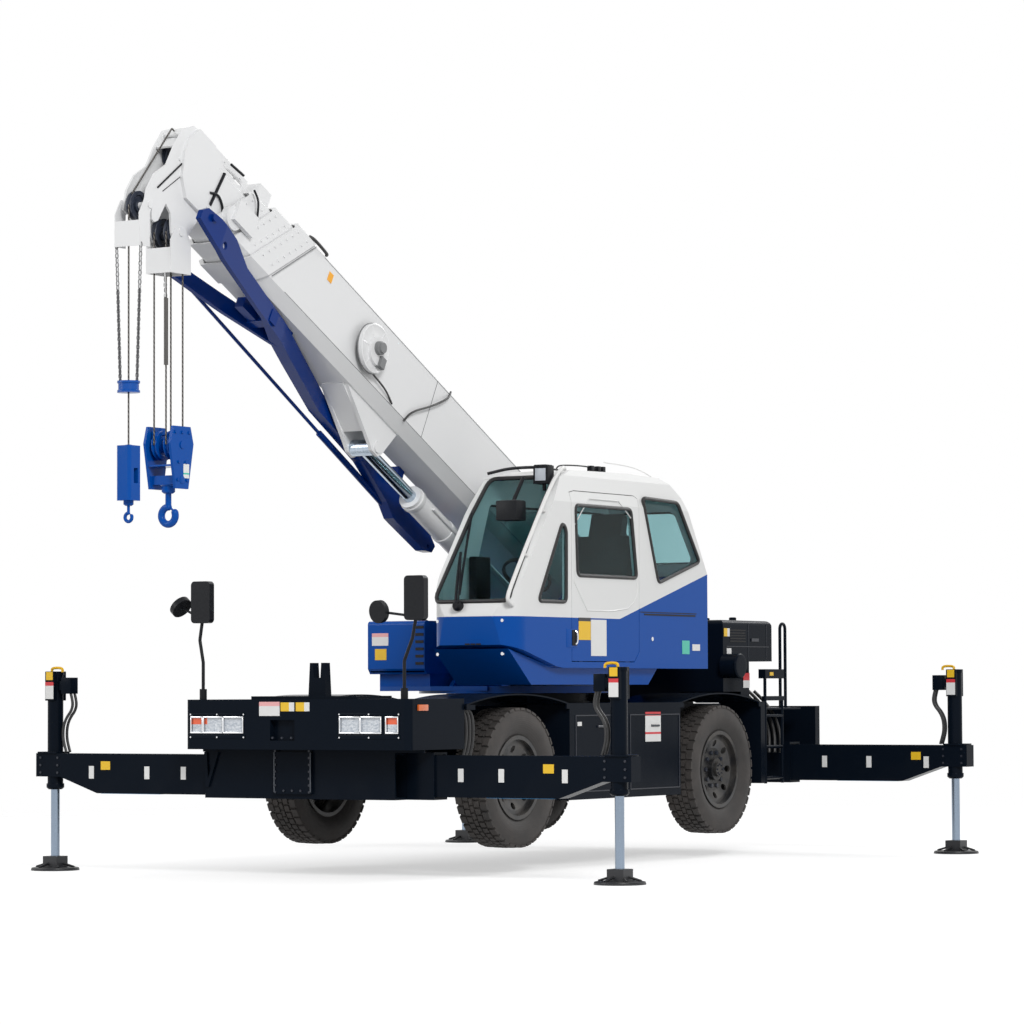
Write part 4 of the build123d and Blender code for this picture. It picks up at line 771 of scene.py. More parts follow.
def rounded_loop(corners, radius, step=0.05):
    """Closed outline with cut corners and points along its straight runs."""
    points = []
    count = len(corners)
    for i in range(count):
        before, corner, after = (Vector(corners[(i + k) % count]) for k in (-1, 0, 1))
        enter = corner + (before - corner).normalized() * radius
        leave = corner + (after - corner).normalized() * radius
        for t in (0.0, 0.25, 0.5, 0.75, 1.0):
            points.append(enter * (1 - t) ** 2 + corner * 2 * t * (1 - t) + leave * t ** 2)
        following = Vector(corners[(i + 1) % count])
        away = following + (corner - following).normalized() * radius
        parts = int((away - leave).length / step)
        points += [leave.lerp(away, k / parts) for k in range(1, parts)]
    return points


rubber_black = plain("window_rubber", (60, (0.006, 0.006, 0.007), (0.016, 0.016, 0.017)), (120, 0.15, 0.42),
                     (300, 0.15, 0.0004))
# Corners of the windows: (y, z) on the two sides, (x, z) for the windscreen and the tail
quarter = [(-0.905, 2.545), (-1.245, 1.960), (-0.850, 1.960), (-0.845, 2.500)]
door_window = [(-0.715, 2.680), (0.105, 2.680), (0.190, 2.160), (-0.690, 2.160)]
rear_window = [(0.285, 2.775), (0.830, 2.760), (1.175, 2.310), (0.520, 2.130)]
far_window = [(-1.100, 1.960), (1.000, 2.000), (0.900, 2.700), (-0.800, 2.700)]
screen = [(CAB_IN + 0.050, 1.955), (CAB_OUT - 0.045, 1.955), (CAB_OUT - 0.095, 2.890),
          (CAB_IN + 0.070, 2.890)]
tail = [(CAB_IN + 0.080, 2.300), (CAB_OUT - 0.080, 2.300), (CAB_OUT - 0.110, 2.700), (CAB_IN + 0.110, 2.700)]
form = bmesh.new()
for skin, corner, outlines in ((CAB_OUT - 0.001, 0.045, (quarter, door_window, rear_window)),
                               (CAB_IN + 0.001, 0.065, (far_window,))):
    for outline in outlines:
        add_pipe(form, [(skin, y, z) for y, z in rounded_loop(outline, corner)], 0.0145, 8, True, 0)
add_pipe(form, [(x, front_skin(x, z) - 0.002, z) for x, z in rounded_loop(screen, 0.060)], 0.016, 8, True, 0)
add_pipe(form, [(x, profile_y(z, True) + 0.002, z) for x, z in rounded_loop(tail, 0.060)], 0.0145, 8, True, 0)
finished("window_rubbers", form, rubber_black, CAB)

# Door: pressed field round its window, a recessed handle and a lock
form = bmesh.new()
pressing = ((-0.735, 2.735), (0.135, 2.735), (0.215, 2.120), (0.170, 1.990), (0.010, 1.905), (-0.735, 1.900))
add_pipe(form, [(CAB_OUT, y, z) for y, z in pressing], 0.005, 6, True, 1)
finished("door_pressing", form, cab_paint, CAB)
slabs("door_handle_recess", [((0.944, -0.850, 1.625), (0.952, -0.690, 1.765))], blue, CAB,
      0.003)
# The hole behind the handle: a black block, painted shade in the recess.
slabs("door_handle_hole", [((0.948, -0.775, 1.640), (0.958, -0.705, 1.755))], seam_and_slot_shade_black, CAB,
      0.004)
form = bmesh.new()
add_pipe(form, [(0.952, -0.725, 1.650), (0.966, -0.717, 1.660), (0.968, -0.717, 1.735),
                (0.952, -0.725, 1.748)], 0.007)
add_turned(form, (0.949, 0.42, 1.700), ACROSS, [(0, 0.016), (0.006, 0.016), (0.008, 0.010)], 20)
finished("door_handle", form, chrome_trim, CAB)
slabs("door_slide_rail", [((0.948, 0.30, 1.880), (0.953, 1.10, 1.892)),
                          ((0.948, 0.24, 1.9), (0.9525, 1.12, 1.906))], seam_and_slot_shade_black, CAB)
for name, y, z, size, bands in (
        ("door_plate_yellow", -0.590, 1.765, (0.172, 0.165), [(0.16, "dark"), (0.84, "yellow")]),
        ("door_plate_white", -0.385, 1.700, (0.226, 0.270), [(0.07, "white"), (0.93, "white")]),
        ("cab_mark_left", 0.945, 1.640, (0.115, 0.105), "green"),
        ("cab_mark_right", 1.110, 1.640, (0.120, 0.050), [(0.5, "white"), (0.5, "white")])):
    blank_plate(name, (0.951, y, z), ALONG, size, bands, CAB)
# Louvres in the nose: black slabs, painted shade in the slots.
form = bmesh.new()
for z0 in (1.640, 1.676):
    for x in (0.545, 0.593, 0.641):
        skin = front_skin(x, 1.66)
        add_slab(form, (x, skin - 0.002, z0), (x + 0.040, skin + 0.006, z0 + 0.012))
finished("nose_louvres", form, seam_and_slot_shade_black, CAB)
places = [((x, front_skin(x, z) - 0.002, z), FORE) for x in (0.30, 0.86) for z in (1.575, 1.815)]
studs("nose_screws", places, 0.012, 0.010, chrome_trim, CAB, 16)
# Wipers, grab rod, work lamp and roof rails
form = bmesh.new()
pivot = Vector((0.50, front_skin(0.50, 1.93) - 0.035, 1.925))
tip = Vector((0.315, front_skin(0.315, 2.42) - 0.040, 2.42))
add_turned(form, pivot + Vector((0, 0.03, 0)), FORE, [(0, 0.040), (0.030, 0.040), (0.055, 0.022)], 20)
add_pipe(form, [pivot + Vector((0, -0.02, 0)), pivot.lerp(tip, 0.25) + Vector((0, -0.02, 0)),
                pivot.lerp(tip, 0.6) + Vector((0, -0.015, 0)), pivot.lerp(tip, 0.8)], 0.011)
add_pipe(form, [pivot + Vector((0.025, -0.02, 0.02)), pivot.lerp(tip, 0.5) + Vector((0.022, -0.02, 0)),
                pivot.lerp(tip, 0.8)], 0.006)
blade = ((0.475, 2.01), (0.43, 2.15), (0.375, 2.33), (0.325, 2.50), (0.290, 2.62))
add_pipe(form, [(x, front_skin(x, z) - 0.014, z) for x, z in blade], 0.010)
add_pipe(form, [(0.30, -0.90, 2.925), (0.42, -0.80, 2.965), (0.55, -0.70, 2.975), (0.60, -0.62, 2.975)],
         0.012)
add_slab(form, (0.56, -0.66, 2.955), (0.66, -0.56, 2.995))
finished("wipers", form, mirror_black, CAB)
form = bmesh.new()
rod = [(0.915, -1.545, 1.925), (0.925, -1.640, 1.955), (0.925, -1.585, 2.060), (0.920, -1.170, 2.610),
       (0.905, -0.930, 2.880), (0.890, -0.780, 2.965), (0.870, -0.730, 2.945)]
add_pipe(form, rod, 0.015)
for share, inner in ((0.35, 0.930), (0.72, 0.925)):
    z = 1.98 + 0.9 * share
    add_bar(form, (inner, profile_y(z) - 0.052, z), (inner - 0.005, profile_y(z) + 0.02, z - 0.02), 0.008)
white_rod = painted("white_rod_paint", (0.80, 0.80, 0.79), dust_share=0.05)
finished("pillar_grab_rod", form, white_rod, CAB)
form = bmesh.new()
add_slab(form, (0.755, -0.990, 2.830), (0.880, -0.900, 2.965))
add_bar(form, (0.815, -0.93, 2.78), (0.815, -0.93, 2.85), 0.014)
add_pipe(form, [(0.79, -0.90, 2.90), (0.79, -0.84, 2.93), (0.79, -0.76, 2.95), (0.79, -0.66, 2.945)], 0.008)
finished("work_lamp_body", form, mirror_black, CAB, 0.012)
lamp_glass = painted("work_lamp_glass", (0.50, 0.54, 0.60), gloss=0.1, coat=0.8)
slabs("work_lamp_lens", [((0.772, -0.9935, 2.852), (0.862, -0.9875, 2.944))], lamp_glass, CAB,
      0.003)
form = bmesh.new()
add_pipe(form, [(0.72, -0.60, 2.965), (0.72, -0.56, 2.995), (0.72, -0.10, 3.005), (0.72, 0.06, 2.97)], 0.006)
for y in (-0.12, -0.02, 0.05):
    add_slab(form, (0.70, y, 2.965), (0.74, y + 0.04, 3.010))
finished("roof_rail", form, mirror_black, CAB, 0.003)
form = bmesh.new()
add_pipe(form, [(0.60, 0.30, 3.060), (0.66, 0.70, 3.040), (0.72, 0.98, 2.925), (0.76, 1.08, 2.75)], 0.0045, 8)
finished("roof_drip_rod", form, white_rod, CAB)

# Glass: tinted green sheet.  Inside, a dark seat with a headrest, the wheel and a monitor pod
material, place, sockets = new_finish("tinted_glass")
feed(sockets, Base_Color=place.noise(1.2, 2.0).mix((0.40, 0.58, 0.59), (0.52, 0.70, 0.72)), Roughness=0.02,
     Transmission_Weight=1.0, IOR=1.15)
wear(material, "cab_glass")
seat_cloth, place, sockets = new_finish("seat_cloth")
knit = place.noise(9, 2.0)
feed(sockets, Base_Color=knit.mix((0.028, 0.034, 0.038), (0.042, 0.050, 0.056)), Roughness=0.85,
     Normal=knit.bumped(0.02, 0.001))
wear(seat_cloth, "cab_interior")
form = bmesh.new()
add_slab(form, (0.62, -1.30, 2.55), (0.80, -1.16, 2.70))
add_bar(form, (0.71, -1.23, 2.65), (0.71, -1.05, 2.88), 0.015)
add_slab(form, (0.29, -1.15, 1.95), (0.36, -0.95, 2.30))
finished("monitor_pod", form, mirror_black, CAB, 0.02)
form = bmesh.new()
stick = [(0, 0.030), (0.03, 0.022), (0.10, 0.010), (0.18, 0.010), (0.19, 0.024), (0.24, 0.026), (0.26, 0.014)]
for x in (0.36, 0.81):
    add_turned(form, (x, -0.45, 1.95), (0, -0.2, 1), stick, 16)
    add_slab(form, (x - 0.05, -0.55, 1.72), (x + 0.05, 0.05, 1.95))
finished("control_levers", form, mirror_black, CAB, 0.004)


# Boom: four nested box sections of thin high-strength plate in white gloss enamel, bent along
# their bevels.  All but the last have a bolted collar at their slanted front ends.

WHITE = (0.76, 0.765, 0.77)
white = painted("white_gloss_enamel", WHITE, dust=(0.45, 0.44, 0.42), dust_share=0.08, gloss=0.22)
wear(white, "boom_base", "boom_section_2", "boom_section_3", "boom_tip", "lift_barrel", "cable_reel")
BOOM_X = -0.090
TILT = math.radians(28)
BOOM_PLACE = (Matrix.Translation((0, SLEW_Y + FOOT_Y, FOOT_Z)) @ Matrix.Rotation(-TILT, 4, "X")
              @ Matrix.Translation((0, -SLEW_Y, 0)))
COLLAR_SLANT = 0.74      # how far a collar's face leans forward for each metre down
seam_grey = painted("seam_grey", (0.20, 0.205, 0.21), dust_share=0.05, gloss=0.4)


def on_boom(places):
    """(point, facing) places given along the level boom, moved to where it stands."""
    return [(tuple(BOOM_PLACE @ Vector((x, y + SLEW_Y, z)) - Vector((0, SLEW_Y, 0))), facing)
            for (x, y, z), facing in places]


for number, section in enumerate(("boom", "boom_second", "boom_third")):
    # Seam of the collar and its bolts, on each side of a section's front end
    half = 0.210 - 0.030 * number + 0.014
    high, low = 0.360 - 0.030 * number, -0.250 + 0.030 * number
    front = 4.610 + 0.245 * number
    form, bolts = bmesh.new(), []
    for side in (-1, 1):
        x = BOOM_X + side * half
        seam = front - 0.222 - 0.03
        add_bar(form, (x, -(seam + 0.045 * COLLAR_SLANT), high - 0.05),
                (x, -(seam + (high - low - 0.09) * COLLAR_SLANT), low + 0.085), 0.0035, 6)
        for k in range(7):
            h = high - 0.080 - 0.062 * k
            if h < low + 0.10:
                break
            bolts += [((x, -(front - lag + (high - h) * COLLAR_SLANT), h), (side, 0, 0))
                      for lag in (0.045, 0.165)]
    finished(section + "_collar_seam", form, seam_grey, section, place=BOOM_PLACE)
    studs(section + "_collar_bolts", on_boom(bolts), 0.0095, 0.014, white, section)

form = bmesh.new()
x = BOOM_X + 0.2105      # the base section's left side
for h, end in ((-0.172, 4.55), (0.312, 4.25)):
    add_slab(form, (x - 0.002, -end, h - 0.002), (x + 0.0015, -0.60, h + 0.002))
    add_slab(form, (2 * BOOM_X - x - 0.0015, -end, h - 0.002), (2 * BOOM_X - x + 0.002, -0.60, h + 0.002))
for s in (1.30, 2.60):
    add_slab(form, (x - 0.002, -s - 0.002, -0.17), (x + 0.0015, -s + 0.002, 0.31))
finished("boom_weld_lines", form, seam_grey, BOOM, place=BOOM_PLACE)
form = bmesh.new()
add_pipe(form, [(x + 0.004, -2.86, -0.19), (x + 0.030, -2.84, -0.10), (x + 0.030, -2.60, 0.10),
                (x + 0.030, -2.45, 0.26), (x - 0.010, -2.40, 0.345)], 0.008)
add_pipe(form, [(x - 0.02, -4.46, 0.355), (x + 0.014, -4.44, 0.345), (x + 0.014, -4.25, 0.340),
                (x - 0.02, -4.22, 0.355)], 0.012)
add_pipe(form, [(x + 0.03, -3.40, -0.12), (x + 0.03, -3.20, -0.13), (x + 0.004, -3.05, -0.16)], 0.007)
finished("boom_hoses", form, hose_rubber, BOOM, place=BOOM_PLACE)
blank_plate("boom_dot_plate", (x + 0.001, -4.13, 0.225), ALONG, (0.055, 0.070), "orange", BOOM, BOOM_PLACE)
for name, s, tone in (("boom_plate_left", 1.05, "yellow"), ("boom_plate_far", 3.60, "white")):
    blank_plate(name, (2 * BOOM_X - x - 0.001, -s, 0.05), FORE, (0.11, 0.09), tone, BOOM, BOOM_PLACE)

# Cable reel: spoked disc with a dark cable drum behind it and a swivel in its middle
centre = Vector((0.188, -3.500, 0.025))
form = bmesh.new()
for turn in range(6):
    angle = math.pi * turn / 3 + 0.2
    out = Vector((0, math.cos(angle), math.sin(angle)))
    add_bar(form, centre + out * 0.05 + Vector((0.004, 0, 0)), centre + out * 0.172, 0.008, 8)
add_turned(form, centre, ACROSS,
           [(0, 0.180), (0.006, 0.181), (0.010, 0.172), (0.006, 0.165), (0.006, 0.112)], 48)
finished("reel_spokes", form, white, BOOM, place=BOOM_PLACE)
form = bmesh.new()
add_turned(form, centre + Vector((-0.030, 0, 0)), ACROSS,
           [(0, 0.150), (0.002, 0.186), (0.008, 0.186), (0.010, 0.150)], 48)
add_turned(form, centre + Vector((0.030, 0, 0)), ACROSS,
           [(0, 0.050), (0.03, 0.050), (0.034, 0.040), (0.05, 0.038)])
add_slab(form, centre + Vector((0.02, 0.045, -0.12)), centre + Vector((0.055, 0.105, -0.04)))
finished("reel_drum", form, seam_grey, BOOM, place=BOOM_PLACE)

# Boom head: struts, hoses and the rope that drops to the auxiliary sheave
form = bmesh.new()
for start, end, radius, steps in (
        ((0.034, -5.425, 0.230), (0.034, -5.462, -0.055), 0.012, 8),
        ((0.034, -5.235, 0.345), (0.034, -5.390, 0.330), 0.010, 8),
        ((0.008, -5.757, 0.178), (0.008, -5.975, -0.262), 0.006, 6),
        ((0.006, -5.621, 0.251), (0.006, -5.915, -0.250), 0.0028, 6)):
    add_bar(form, start, end, radius, steps)
add_pipe(form, [(0.032, -5.50, 0.02), (0.045, -5.42, 0.06), (0.045, -5.32, -0.02), (0.045, -5.30, -0.12)],
         0.009)
add_pipe(form, [(0.10, -5.16, 0.27), (0.12, -5.10, 0.22), (0.12, -5.06, 0.10)], 0.008)
finished("head_struts", form, mirror_black, "boom_head", place=BOOM_PLACE)
rope_steel, place, sockets = new_finish("greased_wire_rope")
lay = (place.axis("Z") * 190 + place.axis("X") * 260 + place.axis("Y") * 260).sine()
feed(sockets, Base_Color=(lay * 0.5 + 0.5).mix((0.030, 0.028, 0.026), (0.16, 0.15, 0.14)), Metallic=0.6,
     Roughness=(place.noise(80) * 0.2 + 0.40).clamped(), Normal=lay.bumped(0.5, 0.002))
wear(rope_steel, "main_hook_ropes", "aux_hook_rope")
form = bmesh.new()
for start, end in (((5.700, 0.268), (5.930, 0.262)), ((5.930, 0.262), (6.085, -0.380))):
    add_bar(form, (BOOM_X, -start[0], start[1]), (BOOM_X, -end[0], end[1]), 0.006, 8)
finished("head_aux_rope", form, rope_steel, "boom_head", place=BOOM_PLACE)
wear(plain("sheave_nylon", (40, (0.012, 0.016, 0.028), (0.035, 0.045, 0.070)), (70, 0.15, 0.32),
           (200, 0.1, 0.0006)), "head_sheaves")
MAIN_PIN, AUX_PIN = (5.627, -0.387), (5.998, -0.418)     # along the boom and above its foot pin
form = bmesh.new()
for (s, h), r in ((MAIN_PIN, 0.045), ((5.760, 0.150), 0.050), (AUX_PIN, 0.040)):
    outline = [(0, r), (0.0045, r), (0.006, r - 0.008)]
    if r > 0.045:
        outline = [(0, r + 0.020), (0.008, r + 0.020), (0.011, r), (0.024, r), (0.026, r - 0.012)]
    for side in (-1, 1):
        add_turned(form, (BOOM_X + side * 0.092, -s, h), (side, 0, 0), outline, 28)
finished("head_pin_plates", form, white, "boom_head", place=BOOM_PLACE)
cheek_bolts = ((5.52, 0.25), (5.58, 0.31), (5.68, 0.31), (5.78, 0.28), (5.83, 0.18), (5.86, 0.05),
               (5.52, -0.08), (5.60, -0.12), (5.70, -0.10), (5.80, 0.02))
bolts = [((BOOM_X + side * 0.0945, -s, h), (side, 0, 0)) for side in (-1, 1) for s, h in cheek_bolts]
studs("head_bolts", on_boom(bolts), 0.011, 0.014, white, "boom_head")

# Lift cylinder: white barrel with a gland and a pipe, and a hard chromed rod
material, place, sockets = new_finish("lift_rod_chrome")
drawn = place.stretched(60, 4, 4).noise(2.0)
feed(sockets, Base_Color=drawn.mix((0.30, 0.38, 0.48), (0.58, 0.64, 0.70)), Metallic=1.0,
     Roughness=(drawn * 0.12 + 0.12).clamped(), Normal=drawn.bumped(0.04, 0.0004))
wear(material, "lift_rod")
direction = Vector((0.0, -0.879332572, 0.476208177))
foot = Vector((BOOM_X, 0.520, 1.730))
form = bmesh.new()
add_turned(form, foot + direction * 2.055, direction,
           [(0, 0.093), (0.01, 0.098), (0.045, 0.098), (0.055, 0.090), (0.060, 0.052)], 36)
add_turned(form, foot + direction * 1.60, direction,
           [(0, 0.089), (0.004, 0.094), (0.036, 0.094), (0.040, 0.089)], 36)
finished("lift_gland", form, white, "lift_barrel_body")
form = bmesh.new()
beside = Vector((0.098, 0, 0))
add_pipe(form, [foot + direction * 0.25 + beside, foot + direction * 1.2 + beside,
                foot + direction * 1.95 + beside * 1.02], 0.011)
finished("lift_pipe", form, white, "lift_barrel_body")


# Stowed jib: braced box legs in deep blue, pinned under the boom with white bosses
def jib_tone(place):
    return place.noise(1.5).mix((0.0008, 0.020, 0.150), (0.001, 0.032, 0.215))


wear(painted("jib_deep_blue_enamel", jib_tone, dust_share=0.04, gloss=0.20, shine=0.14), "stowed_jib")
form = bmesh.new()
add_turned(form, (0.155, -5.566, -0.245), ACROSS,
           [(0, 0.050), (0.02, 0.050), (0.026, 0.040), (0.026, 0.020), (0.012, 0.016)], 28)
add_turned(form, (0.140, -5.350, -0.325), ACROSS, [(0, 0.036), (0.012, 0.036), (0.016, 0.020)])
finished("jib_pin_bosses", form, white, BOOM, place=BOOM_PLACE)


# Hooks: cast and welded blocks in the same bright blue, hung on dark wire rope.  The rope
# guards above are white sheet, and the limit weights hang from them on chain.

wear(blue, "main_hook_block", "aux_hook")


def guard_tone(place):
    """White sheet, dark chain below it and a blue limit weight."""
    z = place.axis("Z")
    chain_zone = (z < 3.985) * (z > 3.372)
    upper = chain_zone.mix(WHITE, (0.06, 0.06, 0.065))
    return (z < 3.373).mix(upper, (0.002, 0.076, 0.37))


def main_guard_tone(place):
    return (place.axis("Z") < 3.955).mix(WHITE, (0.10, 0.095, 0.09))


wear(painted("aux_guard_enamel", guard_tone, dust_share=0.06), "aux_rope_guard")
wear(painted("main_guard_enamel", main_guard_tone, dust_share=0.06), "main_rope_guard")


def pin_at(s, h):
    """y from the slewing axis and z of a pin on the boom at rest."""
    return (FOOT_Y - s * math.cos(TILT) + h * math.sin(TILT),
            FOOT_Z + s * math.sin(TILT) + h * math.cos(TILT))


MAIN_Y = pin_at(*MAIN_PIN)[0]
aux_pin_y, AUX_Z = pin_at(*AUX_PIN)
AUX_ROPE_Y = aux_pin_y - 0.0923

# Chain tree: oval wire links along a line of points, each turned a quarter from the last
chain_tree, given, result = tree_with("chain", [("Wire", "Float"), ("Length", "Float"), ("Width", "Float")])
CIRCLE, TRANSFORM = "GeometryNodeCurvePrimitiveCircle", "GeometryNodeTransform"
loop = grow(chain_tree, CIRCLE, None, {"Resolution": 10, "Radius": 1.0})["Curve"]
oval = grow(chain_tree, "ShaderNodeCombineXYZ", None,
            {"X": given["Width"], "Y": given["Length"], "Z": 1.0})[0]
loop = grow(chain_tree, TRANSFORM, None, {"Geometry": loop, "Scale": oval})[0]
wire = grow(chain_tree, CIRCLE, None, {"Resolution": 6, "Radius": given["Wire"]})["Curve"]
link = grow(chain_tree, "GeometryNodeCurveToMesh", None, {"Curve": loop, "Profile Curve": wire})[0]
link = grow(chain_tree, TRANSFORM, None, {"Geometry": link, "Rotation": (math.pi / 2, 0.0, 0.0)})[0]
number = grow(chain_tree, "GeometryNodeInputIndex")[0]
odd = grow(chain_tree, "ShaderNodeMath", {"operation": "MODULO"}, {0: number, 1: 2.0})[0]
quarter_turn = grow(chain_tree, "ShaderNodeMath", {"operation": "MULTIPLY"}, {0: odd, 1: math.pi / 2})[0]
turn = grow(chain_tree, "ShaderNodeCombineXYZ", None, {"Z": quarter_turn})[0]
stand_copies(chain_tree, given, result, link, turn)
chain_steel = painted("galvanised_chain", (0.16, 0.16, 0.165), gloss=0.35)


def chain(name, start, end, body, pitch=0.030):
    """Links from start to end, y from the slewing axis."""
    start, end = Vector(start), Vector(end)
    count = int((end - start).length / pitch)
    mesh = bpy.data.meshes.new(name + "_spots")
    mesh.from_pydata([start.lerp(end, i / count) + Vector((0, SLEW_Y, 0)) for i in range(count + 1)], [], [])
    grown(name, chain_tree, mesh, {"Wire": 0.0032, "Length": 0.020, "Width": 0.0115, "Material": chain_steel},
          body)


for label, side in (("right", -1), ("left", 1)):
    chain("aux_chain_" + label, (BOOM_X + side * 0.101, AUX_ROPE_Y, AUX_Z - 0.275),
          (BOOM_X + side * 0.070, AUX_ROPE_Y, 3.375), "aux_guard")
chain("main_chain", (-0.04, -4.4023, 4.112), (-0.04, -4.3973, 3.965), "main_guard")
blank_plate("block_plate", (BOOM_X + 0.1155, MAIN_Y + 0.045, 2.790), ALONG, (0.062, 0.095),
            [(0.62, "white"), (0.12, "green"), (0.26, "white")], "main_hook")
block_bolts = ((-0.05, 2.73), (0.05, 2.73), (-0.075, 3.05), (0.075, 3.05), (0.0, 3.05), (-0.04, 2.85),
               (0.04, 2.85))
places = [((BOOM_X + side * 0.116, MAIN_Y + y, z), (side, 0, 0)) for side in (-1, 1) for y, z in block_bolts]
studs("block_bolts", places, 0.011, 0.016, blue, "main_hook")
form = bmesh.new()
add_turned(form, (BOOM_X, MAIN_Y, 2.640), UP,
           [(0, 0.030), (0.012, 0.046), (0.050, 0.046), (0.058, 0.060), (0.062, 0.060)])
add_bar(form, (BOOM_X - 0.118, MAIN_Y, 2.73), (BOOM_X + 0.118, MAIN_Y, 2.73), 0.028, 20)
finished("block_swivel", form, blue, "main_hook", 0.002)
form = bmesh.new()
for z, outline in ((2.540, [(0, 0.020), (0.010, 0.034), (0.034, 0.034), (0.0355, 0.030)]),
                   (2.936, [(0, 0.040), (0.006, 0.036), (0.012, 0.014)])):
    add_turned(form, (BOOM_X, AUX_ROPE_Y, z), UP, outline, 20)
finished("aux_swivel", form, blue, "aux_hook_body")


# Engine hood and rear fittings: the seams and hinges of pressed doors, louvres, round fillers,
# blank plates, rubber hoses down to the outrigger box and white reflectors on the rear panel.

HOOD_PLATE_X = 0.8025
form = bmesh.new()
for side in (-1, 1):
    x = side * 0.801
    for y0, y1, z0, z1 in ((1.880, 2.600, 1.655, 1.660), (2.250, 2.254, 1.320, 1.840),
                           (2.560, 2.564, 1.560, 1.840)):
        add_slab(form, (x - 0.002, y0, z0), (x + 0.002, y1, z1))
    add_slab(form, (x - 0.006, 2.30, 1.70), (x + 0.006, 2.42, 1.725))
finished("hood_seams", form, bolt_steel, CARRIER)
form = bmesh.new()
for y in (2.00, 2.18, 2.40):
    add_bar(form, (-0.30, y, 1.868), (-0.30, y + 0.05, 1.868), 0.012)
add_turned(form, (0.45, 2.15, 1.868), UP, [(0, 0.045), (0.022, 0.045), (0.026, 0.035)])
add_turned(form, (0.55, 2.45, 1.868), UP, [(0, 0.030), (0.030, 0.030), (0.034, 0.020)])
add_turned(form, (0.940, 1.858, 1.500), ACROSS,
           [(-0.012, 0.100), (0.0, 0.100), (0.008, 0.090), (0.008, 0.062)], 36)
finished("hood_fittings", form, navy, CARRIER, 0.002)
# Hood louvres: thin black blocks, painted shade between the slats.
rows = [((side * 0.8015, 2.07, 1.70 + 0.022 * i), UP, (0.004, 0.26, 0.010))
        for side in (-1, 1) for i in range(5)]
blocks_at("hood_louvres", rows, 1.0, seam_and_slot_shade_black, CARRIER)
for name, x, y, z, size, bands in (
        ("hood_plate_yellow", HOOD_PLATE_X, 1.865, 1.770, (0.055, 0.065), "yellow"),
        ("hood_plate_yellow_end", HOOD_PLATE_X, 1.912, 1.770, (0.038, 0.065), "white"),
        ("hood_plate_white", HOOD_PLATE_X, 1.920, 1.615, (0.075, 0.055), "white"),
        ("ladder_marker", 0.9690, 2.330, 1.437, (0.060, 0.028), "yellow"),
        ("gap_plate_red", HOOD_PLATE_X, 2.210, 1.385, (0.105, 0.120), [(0.5, "red"), (0.5, "white")])):
    blank_plate(name, (x, y, z), ALONG, size, bands, CARRIER)
for number, x in enumerate((-0.55, -0.25, 0.05, 0.35, 0.78)):
    blank_plate("rear_reflector_%d" % number, (x, 3.048, 1.120), (-1, 0, 0), (0.16, 0.022), "white", CARRIER)
form = bmesh.new()
bends = ((0.55, 2.62, 1.30), (0.62, 2.66, 1.22), (0.72, 2.66, 1.10), (0.78, 2.64, 0.95), (0.80, 2.60, 0.80))
for offset in (0.0, 0.05, 0.10):
    for side in (1, -1):
        add_pipe(form, [(side * (x + offset), y, z) for x, y, z in bends], 0.014)
finished("rear_hoses", form, hose_rubber, CARRIER)


# Studio: a pale floor that runs into a white backdrop, with large soft lamps.  The camera
# stands low, ahead of the machine and to its cab side, and looks slightly up.

material, place, sockets = new_finish("studio_floor")
tree = material.node_tree
surface = tree.nodes["Material Output"].inputs["Surface"]
lit = Wire(tree, tree.nodes["Principled BSDF"].outputs[0])
away = place.node("VectorMath", {"operation": "LENGTH"}, {0: place}, 1).ramp(6.5, 15.0)
clear = Wire(tree, tree.nodes.new("ShaderNodeBsdfTransparent").outputs[0])
blended = place.node("MixShader", None, {0: away, 1: lit, 2: clear})
tree.links.new(blended.socket, surface)


def seen_by(tree, *kinds):
    """1 for light paths of these kinds."""
    path = tree.nodes.new("ShaderNodeLightPath").outputs
    seen = Wire(tree, path[kinds[0]])
    for kind in kinds[1:]:
        seen = seen.maths("MAXIMUM", seen, Wire(tree, path[kind]))
    return seen


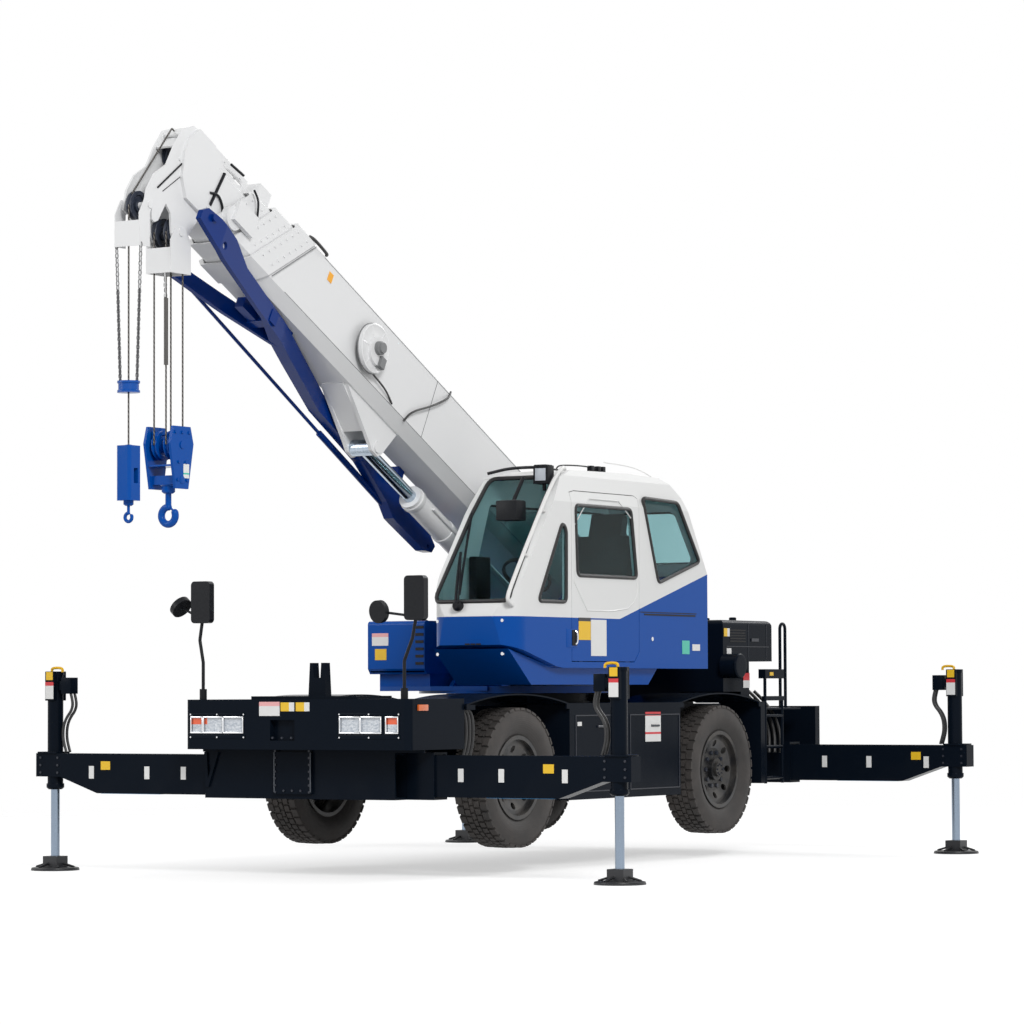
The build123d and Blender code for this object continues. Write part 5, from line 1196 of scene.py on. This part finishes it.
seen = seen_by(tree, "Is Camera Ray", "Is Glossy Ray")
feed(sockets, Base_Color=(0.60, 0.60, 0.60), Roughness=0.9, Emission_Color=(1.0, 1.0, 1.0),
     Emission_Strength=seen * 0.52)
mesh = bpy.data.meshes.new("studio_floor")
mesh.from_pydata([(x, y, -0.001) for x, y in ((-400, -400), (400, -400), (400, 400), (-400, 400))], [],
                 [(0, 1, 2, 3)])
mesh.materials.append(material)
floor = bpy.data.objects.new("studio_floor", mesh)
bpy.context.scene.collection.objects.link(floor)

world = bpy.data.worlds.new("studio")
bpy.context.scene.world = world
world.use_nodes = True
tree = world.node_tree
seen = seen_by(tree, "Is Camera Ray", "Is Glossy Ray", "Is Transmission Ray")
tree.nodes["Background"].inputs["Color"].default_value = (1, 1, 1, 1)
tree.links.new((0.48 + seen * 0.52).socket, tree.nodes["Background"].inputs["Strength"])

#        name    place           across  watts
LAMPS = (("key", (16, -14, 14), 6, 2900), ("fill", (-14, -16, 9), 9, 950), ("rim", (4, 16, 13), 8, 1200))
for name, place, across, watts in LAMPS:
    data = bpy.data.lights.new(name, "AREA")
    data.shape = "SQUARE"
    data.size = across
    data.energy = watts
    light = bpy.data.objects.new(name, data)
    light.location = place
    light.rotation_euler = (Vector((0, 0, 2)) - Vector(place)).to_track_quat("-Z", "Y").to_euler()
    bpy.context.scene.collection.objects.link(light)

azimuth, rise, roll = math.radians(31.892), math.radians(2.810), math.radians(-0.2455)
forward = Vector((-math.sin(azimuth) * math.cos(rise), math.cos(azimuth) * math.cos(rise), math.sin(rise)))
right = Vector((math.cos(azimuth), math.sin(azimuth), 0))
up = right.cross(forward)
right, up = math.cos(roll) * right + math.sin(roll) * up, math.cos(roll) * up - math.sin(roll) * right
data = bpy.data.cameras.new("camera")
data.lens = 129.06
data.sensor_width = 36
data.clip_end = 900
camera = bpy.data.objects.new("camera", data)
turned = Matrix((right, up, -forward)).transposed().to_4x4()
camera.matrix_world = Matrix.Translation((14.888, -23.1588, 1.298)) @ turned
bpy.context.scene.collection.objects.link(camera)
bpy.context.scene.camera = camera
bpy.context.scene.view_settings.view_transform = "Standard"
